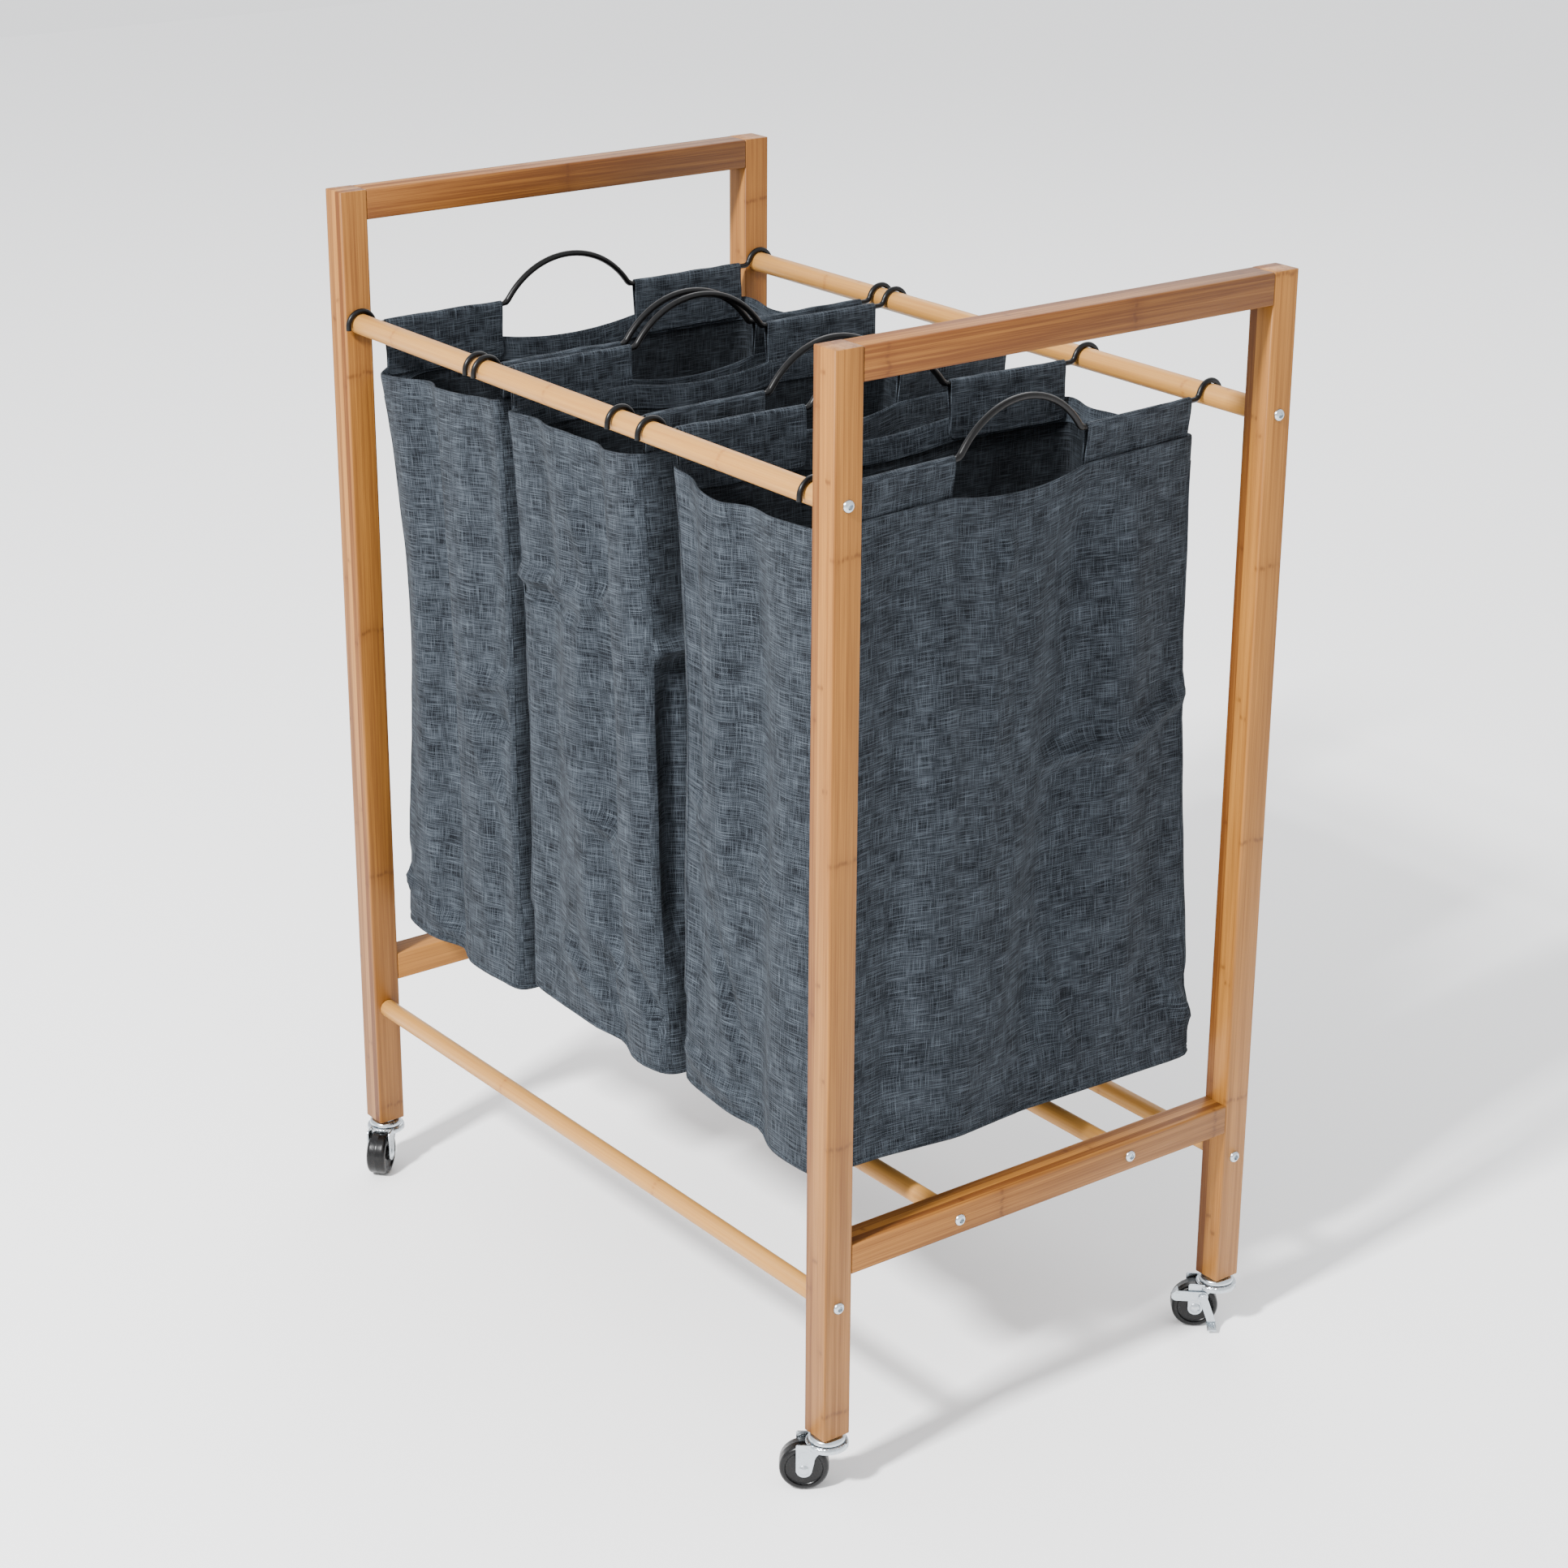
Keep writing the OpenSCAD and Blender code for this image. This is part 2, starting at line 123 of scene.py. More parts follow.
def lay_aside() -> None:
    """Leave edit mode and deselect everything."""
    if bpy.context.object and bpy.context.object.mode != "OBJECT":
        bpy.ops.object.mode_set(mode="OBJECT")
    bpy.ops.object.select_all(action="DESELECT")


def take(piece: bpy.types.Object) -> bpy.types.Object:
    """Select one object alone and make it active.

    Args:
        piece: Object to take.

    Returns:
        The same object.
    """
    lay_aside()
    piece.select_set(True)
    bpy.context.view_layer.objects.active = piece
    return piece


def settle(piece: bpy.types.Object) -> bpy.types.Object:
    """Bake place, turn and scale into the mesh, so that the object sits at the origin.

    Args:
        piece: Object to settle.

    Returns:
        The same object.
    """
    take(piece)
    bpy.ops.object.transform_apply(location=True, rotation=True, scale=True)
    return piece


def place(piece: bpy.types.Object, matrix: Matrix) -> bpy.types.Object:
    """Move a mesh by a matrix and settle it.

    Args:
        piece: Object whose mesh moves.
        matrix: Move from its present place.

    Returns:
        The same object.
    """
    piece.matrix_world = matrix @ piece.matrix_world
    bpy.context.view_layer.update()
    return settle(piece)


def block(name: str, low: Vector, high: Vector) -> bpy.types.Object:
    """Add a cube primitive that fills a box.

    Args:
        name: Name of the new piece.
        low: Lowest corner.
        high: Highest corner.

    Returns:
        The new object, settled.
    """
    lay_aside()
    centre = (low + high) / 2
    bpy.ops.mesh.primitive_cube_add(size=1, location=centre, scale=high - low)
    piece = bpy.context.object
    piece.name = piece.data.name = name
    return settle(piece)


def pick(
    kind: str, test: Callable[[bmesh.types.BMVert | bmesh.types.BMEdge | bmesh.types.BMFace], bool]
) -> None:
    """Select parts of the mesh in edit mode by a test.

    Args:
        kind: VERT, EDGE or FACE.
        test: Says whether one part is wanted.
    """
    bpy.ops.mesh.select_mode(type=kind)
    bpy.ops.mesh.select_all(action="DESELECT")
    mesh = bpy.context.object.data
    drawn = bmesh.from_edit_mesh(mesh)
    parts = {"VERT": drawn.verts, "EDGE": drawn.edges, "FACE": drawn.faces}[kind]
    for part in parts:
        if test(part):
            part.select_set(True)
    drawn.select_flush_mode()
    bmesh.update_edit_mesh(mesh)


def modify(piece: bpy.types.Object, kind: str, **settings: object) -> None:
    """Put one modifier on a piece and apply it.

    Args:
        piece: Piece to change.
        kind: Modifier type.
        **settings: Its settings.
    """
    take(piece)
    modifier = piece.modifiers.new(kind.title(), kind)
    for key, value in settings.items():
        setattr(modifier, key, value)
    bpy.ops.object.modifier_apply(modifier=modifier.name)


def smooth(piece: bpy.types.Object, degrees: float = 35.0) -> bpy.types.Object:
    """Shade a piece smooth and keep its sharp edges.

    Args:
        piece: Piece to shade.
        degrees: Angle above which an edge stays sharp.

    Returns:
        The same piece.
    """
    take(piece)
    bpy.ops.object.shade_smooth_by_angle(angle=math.radians(degrees))
    return piece


def copy_of(piece: bpy.types.Object, name: str) -> bpy.types.Object:
    """Copy a piece with its own mesh.

    Args:
        piece: Piece to copy.
        name: Name of the copy.

    Returns:
        The copy.
    """
    take(piece)
    bpy.ops.object.duplicate(linked=False)
    twin = bpy.context.object
    twin.name = twin.data.name = name
    return twin


def joined(name: str, parts: Sequence[bpy.types.Object]) -> bpy.types.Object:
    """Join several pieces into one.

    Args:
        name: Name of the joined piece.
        parts: Pieces to join.

    Returns:
        The joined piece.
    """
    lay_aside()
    for part in parts:
        part.select_set(True)
    bpy.context.view_layer.objects.active = parts[0]
    bpy.ops.object.join()
    whole = bpy.context.object
    whole.name = whole.data.name = name
    return whole


def turned(name: str, profile: Sequence[Ring], segments: int = 64) -> bpy.types.Object:
    """Turn a closed profile about Z by extruding a circle from ring to ring.

    Args:
        name: Name of the new piece.
        profile: Radius and height of each ring, the last joining the first.
        segments: Number of sides.

    Returns:
        The new piece, with no open ends.
    """
    lay_aside()
    radius, height = profile[0]
    bpy.ops.mesh.primitive_circle_add(
        vertices=segments, radius=radius, location=(0, 0, height)
    )
    piece = bpy.context.object
    piece.name = piece.data.name = name
    settle(piece)
    bpy.ops.object.mode_set(mode="EDIT")
    bpy.ops.mesh.select_all(action="SELECT")
    for new_radius, new_height in [*profile[1:], profile[0]]:
        lift = {"value": (0, 0, new_height - height)}
        bpy.ops.mesh.extrude_region_move(TRANSFORM_OT_translate=lift)
        share = new_radius / radius
        bpy.ops.transform.resize(
            value=(share, share, 1), center_override=(0, 0, new_height)
        )
        radius, height = new_radius, new_height
    bpy.ops.mesh.select_all(action="SELECT")
    bpy.ops.mesh.remove_doubles(threshold=1e-6)
    bpy.ops.mesh.normals_make_consistent(inside=False)
    bpy.ops.object.mode_set(mode="OBJECT")
    return piece


def cast_of(node: str, name: str) -> bpy.types.Object:
    """Copy a frame node as a merged mesh to work on.

    Args:
        node: Frame node to copy.
        name: Name of the new piece.

    Returns:
        The merged copy, riding on nothing yet.
    """
    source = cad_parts[node]
    piece = bpy.data.objects.new(name, source.data.copy())
    piece.data.name = name
    piece.data.materials.clear()
    bpy.context.scene.collection.objects.link(piece)
    take(piece)
    bpy.ops.object.mode_set(mode="EDIT")
    bpy.ops.mesh.select_all(action="SELECT")
    bpy.ops.mesh.remove_doubles(threshold=2e-6)
    bpy.ops.mesh.dissolve_limited(angle_limit=math.radians(1.0))
    bpy.ops.object.mode_set(mode="OBJECT")
    return piece


def from_grid(
    name: str, points: Sequence[Sequence[float]], faces: Sequence[Sequence[int]]
) -> bpy.types.Object:
    """Make a sheet's mesh from its points and faces.

    Args:
        name: Name of the new piece.
        points: Corners in metres.
        faces: Corner numbers of each face.

    Returns:
        The new object.
    """
    mesh = bpy.data.meshes.new(name)
    mesh.from_pydata([tuple(p) for p in points], [], [tuple(f) for f in faces])
    mesh.update()
    piece = bpy.data.objects.new(name, mesh)
    bpy.context.scene.collection.objects.link(piece)
    return piece


# --- Node trees -------------------------------------------------------------------------


class Graph:
    """A node tree that is filled one node at a time."""

    def __init__(self, tree: bpy.types.NodeTree) -> None:
        """Keep the tree.

        Args:
            tree: Tree to fill.
        """
        self.tree = tree

    def add(
        self, kind: str, inputs: dict[object, object] | None = None, **settings: object
    ) -> bpy.types.Node:
        """Add a node, set it, and feed its inputs.

        Args:
            kind: Node type.
            inputs: Value or output socket for each input, by name or number.
            **settings: The node's own settings.

        Returns:
            The new node.
        """
        node = self.tree.nodes.new(kind)
        for key, value in settings.items():
            setattr(node, key, value)
        for key, value in (inputs or {}).items():
            if isinstance(value, bpy.types.NodeSocket):
                self.tree.links.new(value, node.inputs[key])
            else:
                node.inputs[key].default_value = value
        return node

    def maths(self, operation: str, *values: object, clamp: bool = False) -> bpy.types.NodeSocket:
        """Add a Math node.

        Args:
            operation: Its operation.
            *values: Numbers or sockets, in order.
            clamp: True to keep the result from 0 to 1.

        Returns:
            Its output.
        """
        node = self.add(
            "ShaderNodeMath", dict(enumerate(values)), operation=operation, use_clamp=clamp
        )
        return node.outputs[0]

    def spread(
        self, value: bpy.types.NodeSocket, low: float, high: float, to_low: float, to_high: float
    ) -> bpy.types.NodeSocket:
        """Map one range of a value smoothly to another.

        Args:
            value: Socket to read.
            low: Start of the range read.
            high: End of the range read.
            to_low: Result at the start.
            to_high: Result at the end.

        Returns:
            The mapped value.
        """
        inputs = {0: value, 1: low, 2: high, 3: to_low, 4: to_high}
        node = self.add("ShaderNodeMapRange", inputs, interpolation_type="SMOOTHSTEP")
        return node.outputs[0]

    def stretched_noise(
        self, vector: bpy.types.NodeSocket, scale: Point, detail: float, rough: float = 0.5
    ) -> bpy.types.NodeSocket:
        """Noise with its own scale on each axis.

        Args:
            vector: Coordinates in metres.
            scale: Waves per metre on each axis.
            detail: Octaves.
            rough: Strength of the finer octaves.

        Returns:
            The noise value.
        """
        scaled = self.add(
            "ShaderNodeVectorMath", {0: vector, 1: scale}, operation="MULTIPLY"
        )
        inputs = {"Vector": scaled.outputs[0], "Scale": 1.0, "Detail": detail, "Roughness": rough}
        return self.add("ShaderNodeTexNoise", inputs).outputs[0]

    def mixed(
        self, share: object, first: object, second: object, blend: str = "MIX"
    ) -> bpy.types.NodeSocket:
        """Mix two colours.

        Args:
            share: Amount of the second.
            first: Colour or socket.
            second: Colour or socket.
            blend: Blend mode.

        Returns:
            The mixed colour.
        """
        node = self.add(
            "ShaderNodeMix", {0: share, 6: first, 7: second}, data_type="RGBA", blend_type=blend
        )
        return node.outputs[2]


SOCKETS = {
    "vector": "NodeSocketVector",
    "colour": "NodeSocketColor",
    "value": "NodeSocketFloat",
}


def new_group(
    name: str, takes: dict[str, str], gives: dict[str, str]
) -> tuple[Graph, bpy.types.Node, bpy.types.Node]:
    """Start a shader node group.

    Args:
        name: Name of the group.
        takes: Kind of each input by name: vector, colour or value.
        gives: Kind of each output by name.

    Returns:
        Its graph, its input node and its output node.
    """
    tree = bpy.data.node_groups.new(name, "ShaderNodeTree")
    for key, kind in takes.items():
        tree.interface.new_socket(name=key, in_out="INPUT", socket_type=SOCKETS[kind])
    for key, kind in gives.items():
        tree.interface.new_socket(name=key, in_out="OUTPUT", socket_type=SOCKETS[kind])
    graph = Graph(tree)
    return graph, graph.add("NodeGroupInput"), graph.add("NodeGroupOutput")


def bamboo_grain() -> bpy.types.NodeTree:
    """Glued bamboo strips: fibres along X, strips stacked along Y, with node marks.

    Returns:
        The group, which gives a tone from 0 to 1, a knot mask and a height.
    """
    takes = {"Vector": "vector", "Strip": "value", "Stripes": "value", "Seed": "value"}
    gives = {"Tone": "value", "Knot": "value", "Height": "value"}
    graph, given, out = new_group("bamboo_grain", takes, gives)
    vector, seed = given.outputs["Vector"], given.outputs["Seed"]
    axes = graph.add("ShaderNodeSeparateXYZ", {0: vector}).outputs
    strip = graph.maths("FLOOR", graph.maths("DIVIDE", axes[1], given.outputs["Strip"]))
    strip_key = graph.add("ShaderNodeCombineXYZ", {0: strip, 1: seed})
    strip_random = graph.add("ShaderNodeTexWhiteNoise", {0: strip_key.outputs[0]}).outputs[0]
    wander = graph.stretched_noise(vector, (9, 60, 160), 2)
    phase = graph.maths("MULTIPLY_ADD", strip_random, 3.7, seed)
    along = graph.maths("MULTIPLY_ADD", axes[0], 1 / 0.235, phase)
    along = graph.maths("MULTIPLY_ADD", wander, 0.035, along)
    offset = graph.maths("SUBTRACT", graph.maths("FRACT", along), 0.5)
    distance = graph.maths("ABSOLUTE", offset)
    knot = graph.spread(distance, 0.0, 0.013, 1.0, 0.0)
    halo = graph.spread(distance, 0.0, 0.055, 1.0, 0.0)
    patches = graph.stretched_noise(vector, (30, 300, 420), 2)
    knot = graph.maths("MULTIPLY", knot, graph.spread(patches, 0.38, 0.6, 0.15, 1.0))
    fibres = graph.stretched_noise(vector, (11, 1100, 1300), 3, 0.62)
    streaks = graph.stretched_noise(vector, (4, 240, 330), 3, 0.55)
    cloud = graph.stretched_noise(vector, (5, 30, 35), 2)
    tone = graph.maths("MULTIPLY", strip_random, given.outputs["Stripes"])
    tone = graph.maths("MULTIPLY_ADD", graph.spread(fibres, 0.3, 0.7, 0, 1), 0.26, tone)
    tone = graph.maths("MULTIPLY_ADD", graph.spread(streaks, 0.3, 0.72, 0, 1), 0.30, tone)
    tone = graph.maths("MULTIPLY_ADD", cloud, 0.22, tone)
    tone = graph.maths("MULTIPLY_ADD", halo, 0.06, tone, clamp=True)
    height = graph.maths("MULTIPLY_ADD", knot, -0.5, fibres)
    for key, value in {"Tone": tone, "Knot": knot, "Height": height}.items():
        graph.tree.links.new(value, out.inputs[key])
    return graph.tree


def heather_weave() -> bpy.types.NodeTree:
    """Plain weave of two-tone slub yarns on a metric UV map.

    Returns:
        The group, which gives a tone from 0 to 1 and a height.
    """
    takes = {"Vector": "vector", "Yarn": "value"}
    gives = {"Tone": "value", "Height": "value"}
    graph, given, out = new_group("heather_weave", takes, gives)
    vector, yarn = given.outputs["Vector"], given.outputs["Yarn"]
    axes = graph.add("ShaderNodeSeparateXYZ", {0: vector}).outputs
    turn = graph.maths("DIVIDE", math.pi, yarn)
    waves = [graph.maths("SINE", graph.maths("MULTIPLY", axes[i], turn)) for i in (0, 1)]
    over = graph.maths("MULTIPLY", *waves)
    warp = graph.stretched_noise(vector, (1700, 62, 1), 1, 0.5)
    weft = graph.stretched_noise(vector, (50, 1700, 1), 1, 0.5)
    warp_slub = graph.stretched_noise(vector, (900, 42, 1), 1, 0.5)
    weft_slub = graph.stretched_noise(vector, (34, 900, 1), 1, 0.5)
    mottle = graph.stretched_noise(vector, (34, 34, 1), 2, 0.5)
    warp = graph.maths("MULTIPLY_ADD", graph.spread(warp, 0.43, 0.70, 0, 1), 0.46,
                       graph.spread(warp_slub, 0.56, 0.72, 0, 0.24))
    weft = graph.maths("MULTIPLY_ADD", graph.spread(weft, 0.42, 0.68, 0, 1), 0.52,
                       graph.spread(weft_slub, 0.55, 0.70, 0, 0.28))
    top = graph.maths("GREATER_THAN", over, 0.0)
    tone = graph.add("ShaderNodeMix", {0: top, 2: warp, 3: weft}, data_type="FLOAT").outputs[0]
    both = graph.maths("MAXIMUM", warp, weft)
    tone = graph.add("ShaderNodeMix", {0: 0.35, 2: tone, 3: both}, data_type="FLOAT").outputs[0]
    patches = graph.spread(mottle, 0.3, 0.7, -1, 1)
    tone = graph.maths("MULTIPLY_ADD", patches, 0.05, tone, clamp=True)
    height = graph.maths("MULTIPLY_ADD", graph.maths("ABSOLUTE", over), 0.6, tone)
    graph.tree.links.new(tone, out.inputs["Tone"])
    graph.tree.links.new(height, out.inputs["Height"])
    return graph.tree


def handling_marks() -> bpy.types.NodeTree:
    """Fine scuffs and a film of dust, for metal, plastic and coated wire.

    Returns:
        The group, which gives a scuff mask, a dust mask and a height.
    """
    takes = {"Vector": "vector", "Scale": "value"}
    gives = {"Scuff": "value", "Dust": "value", "Height": "value"}
    graph, given, out = new_group("handling_marks", takes, gives)
    scaled = graph.add(
        "ShaderNodeVectorMath",
        {0: given.outputs["Vector"], 3: given.outputs["Scale"]},
        operation="SCALE",
    ).outputs[0]
    lines = graph.stretched_noise(scaled, (90, 700, 260), 3, 0.65)
    spots = graph.stretched_noise(scaled, (420, 420, 420), 3, 0.6)
    cloud = graph.stretched_noise(scaled, (60, 60, 60), 3, 0.6)
    scuff = graph.spread(lines, 0.5, 0.78, 0, 1)
    specks = graph.spread(spots, 0.48, 0.8, 0, 1)
    film = graph.spread(cloud, 0.35, 0.7, 0, 1)
    dust = graph.maths("MULTIPLY", specks, film)
    height = graph.maths("MULTIPLY_ADD", scuff, -0.4, spots)
    for key, value in {"Scuff": scuff, "Dust": dust, "Height": height}.items():
        graph.tree.links.new(value, out.inputs[key])
    return graph.tree


GROUPS: dict[str, bpy.types.NodeTree] = {}
GROUP_MAKERS = {
    "bamboo_grain": bamboo_grain,
    "heather_weave": heather_weave,
    "handling_marks": handling_marks,
}


def shared(name: str) -> bpy.types.NodeTree:
    """Node group by name, made when first asked for.

    Args:
        name: Name of the group.

    Returns:
        The group.
    """
    if name not in GROUPS:
        GROUPS[name] = GROUP_MAKERS[name]()
    return GROUPS[name]


def new_material(name: str) -> tuple[bpy.types.Material, Graph, bpy.types.Node]:
    """Start a material with its Principled shader.

    Args:
        name: Name of the material.

    Returns:
        The material, its graph and its shader.
    """
    material = bpy.data.materials.new(name)
    material.use_nodes = True
    graph = Graph(material.node_tree)
    return material, graph, material.node_tree.nodes["Principled BSDF"]


def bump(graph: Graph, shader: bpy.types.Node, height: bpy.types.NodeSocket, depth: float) -> None:
    """Feed a height to a shader's normal.

    Args:
        graph: The material's graph.
        shader: Its shader.
        height: Height from 0 to 1.
        depth: Depth of a height of 1, in metres.
    """
    inputs = {"Height": height, "Distance": depth, "Strength": 1.0}
    node = graph.add("ShaderNodeBump", inputs)
    graph.tree.links.new(node.outputs[0], shader.inputs["Normal"])


# --- Finishes ---------------------------------------------------------------------------


@dataclass(frozen=True)
class BambooFinish:
    """Varnished bamboo, glued from strips."""

    light: Colour = (0.365, 0.158, 0.030, 1)
    dark: Colour = (0.105, 0.033, 0.0055, 1)
    knot: Colour = (0.070, 0.020, 0.004, 1)
    stripes: float = 0.62
    strip: float = 0.0065
    roughness: float = 0.42

    def material(self, name: str, grain: Grain, seed: float) -> bpy.types.Material:
        """Make the finish for one part.

        Args:
            name: Name of the material.
            grain: Run of its fibres.
            seed: Number that sets its own strips and knots.

        Returns:
            The material.
        """
        material, graph, shader = new_material(name)
        coords = graph.add("ShaderNodeTexCoord").outputs["Object"]
        mapped = graph.add(
            "ShaderNodeMapping",
            {"Vector": coords, "Rotation": grain.value, "Location": (seed, 0.0, 0.0)},
        ).outputs[0]
        if grain is Grain.ALONG_Z:
            turned_axes = graph.add("ShaderNodeSeparateXYZ", {0: mapped}).outputs
            mapped = graph.add(
                "ShaderNodeCombineXYZ", {0: turned_axes[0], 1: turned_axes[2], 2: turned_axes[1]}
            ).outputs[0]
        pattern = graph.add("ShaderNodeGroup", node_tree=shared("bamboo_grain"))
        graph.tree.links.new(mapped, pattern.inputs["Vector"])
        pattern.inputs["Strip"].default_value = self.strip
        pattern.inputs["Stripes"].default_value = self.stripes
        pattern.inputs["Seed"].default_value = seed
        tone, knots = pattern.outputs["Tone"], pattern.outputs["Knot"]
        wood = graph.mixed(tone, self.light, self.dark)
        colour = graph.mixed(graph.maths("MULTIPLY", knots, 0.55), wood, self.knot)
        graph.tree.links.new(colour, shader.inputs["Base Color"])
        rough = graph.spread(tone, 0, 1, self.roughness - 0.04, self.roughness + 0.12)
        graph.tree.links.new(rough, shader.inputs["Roughness"])
        shader.inputs["Specular IOR Level"].default_value = 0.22
        shader.inputs["Coat Weight"].default_value = 0.03
        shader.inputs["Coat Roughness"].default_value = 0.28
        bump(graph, shader, pattern.outputs["Height"], 0.00010)
        return material


@dataclass(frozen=True)
class ClothFinish:
    """Heathered linen-look cloth, with its wrong side darkened as painted shade."""

    thread: Colour = (0.0018, 0.0030, 0.0052, 1)
    slub: Colour = (0.110, 0.132, 0.158, 1)
    # Share of the yarn colours kept on the wrong side: painted shade for the shadowed inside of the
    # bag.
    shade: float = 0.42
    yarn: float = 0.00085
    roughness: float = 0.86

    def material(self, name: str, wrong_side_painted_shade: bool = False) -> bpy.types.Material:
        """Make the cloth's right side, or its wrong side darkened as painted shade.

        Args:
            name: Name of the material.
            wrong_side_painted_shade: True for the side that faces into the bag, whose yarn colours
                are then darkened as painted shade.

        Returns:
            The material.
        """
        material, graph, shader = new_material(name)
        coords = graph.add("ShaderNodeUVMap", uv_map="Cloth").outputs[0]
        pattern = graph.add("ShaderNodeGroup", node_tree=shared("heather_weave"))
        graph.tree.links.new(coords, pattern.inputs["Vector"])
        pattern.inputs["Yarn"].default_value = self.yarn
        shader.inputs["Specular IOR Level"].default_value = 0.12
        tone = pattern.outputs["Tone"]
        if wrong_side_painted_shade:
            # Painted shade: the inside is the same heathered cloth, its yarn colours darkened by
            # shade to stand in for the shadow inside the bag.
            dark, light = (
                tuple(self.shade * c for c in yarn[:3]) + (1,) for yarn in (self.thread, self.slub)
            )
            colour = graph.mixed(tone, dark, light)
            shader.inputs["Roughness"].default_value = 0.8
            depth = 0.00015
        else:
            colour = graph.mixed(tone, self.thread, self.slub)
            graph.tree.links.new(
                graph.spread(tone, 0, 1, self.roughness, self.roughness - 0.16),
                shader.inputs["Roughness"],
            )
            shader.inputs["Sheen Weight"].default_value = 0.012
            shader.inputs["Sheen Roughness"].default_value = 0.45
            depth = 0.00028
        graph.tree.links.new(colour, shader.inputs["Base Color"])
        bump(graph, shader, pattern.outputs["Height"], depth)
        return material


@dataclass(frozen=True)
class HardFinish:
    """Zinc plate, moulded plastic, coated wire or sewing thread, with handling marks."""

    base: Colour
    worn: Colour
    metallic: float
    roughness: float
    rough_spread: float
    marks: float = 1.0
    gloss: float = 0.5
    depth: float = 0.00003

    def material(self, name: str) -> bpy.types.Material:
        """Make the finish.

        Args:
            name: Name of the material.

        Returns:
            The material.
        """
        material, graph, shader = new_material(name)
        coords = graph.add("ShaderNodeTexCoord").outputs["Object"]
        pattern = graph.add("ShaderNodeGroup", node_tree=shared("handling_marks"))
        graph.tree.links.new(coords, pattern.inputs["Vector"])
        pattern.inputs["Scale"].default_value = self.marks
        dusty = graph.maths("MULTIPLY", pattern.outputs["Dust"], 0.7)
        colour = graph.mixed(dusty, self.base, self.worn)
        graph.tree.links.new(colour, shader.inputs["Base Color"])
        low = self.roughness
        rough = graph.spread(pattern.outputs["Scuff"], 0, 1, low, low + self.rough_spread)
        graph.tree.links.new(rough, shader.inputs["Roughness"])
        shader.inputs["Metallic"].default_value = self.metallic
        shader.inputs["Specular IOR Level"].default_value = self.gloss
        bump(graph, shader, pattern.outputs["Height"], self.depth)
        return material


BAR_BAMBOO = BambooFinish()
DOWEL_BAMBOO = BambooFinish(
    light=(0.44, 0.225, 0.055, 1),
    dark=(0.28, 0.115, 0.022, 1),
    knot=(0.22, 0.080, 0.018, 1),
    stripes=0.10,
    strip=0.03,
    roughness=0.40,
)
BAG_CLOTH = ClothFinish()
ZINC = HardFinish(
    base=(0.50, 0.545, 0.58, 1),
    worn=(0.27, 0.30, 0.32, 1),
    metallic=1.0,
    roughness=0.24,
    rough_spread=0.22,
)
WHEEL_PLASTIC = HardFinish(
    base=(0.0020, 0.0020, 0.0022, 1),
    worn=(0.012, 0.012, 0.0115, 1),
    metallic=0.0,
    roughness=0.26,
    rough_spread=0.20,
    gloss=0.30,
)
COATED_WIRE = HardFinish(
    base=(0.0022, 0.0022, 0.0024, 1),
    worn=(0.010, 0.010, 0.010, 1),
    metallic=0.0,
    roughness=0.34,
    rough_spread=0.14,
    gloss=0.22,
)
THREAD = HardFinish(
    base=(0.012, 0.016, 0.022, 1),
    worn=(0.03, 0.036, 0.044, 1),
    metallic=0.0,
    roughness=0.75,
    rough_spread=0.15,
    marks=2.0,
    gloss=0.3,
)


def dress(piece: bpy.types.Object, *materials: bpy.types.Material) -> None:
    """Give a piece its materials in slot order.

    Args:
        piece: Piece or frame node.
        *materials: One material for each slot.
    """
    while len(piece.data.materials) > len(materials):
        piece.data.materials.pop()
    for number, material in enumerate(materials):
        if number < len(piece.data.materials):
            piece.data.materials[number] = material
        else:
            piece.data.materials.append(material)


# --- Studio -----------------------------------------------------------------------------


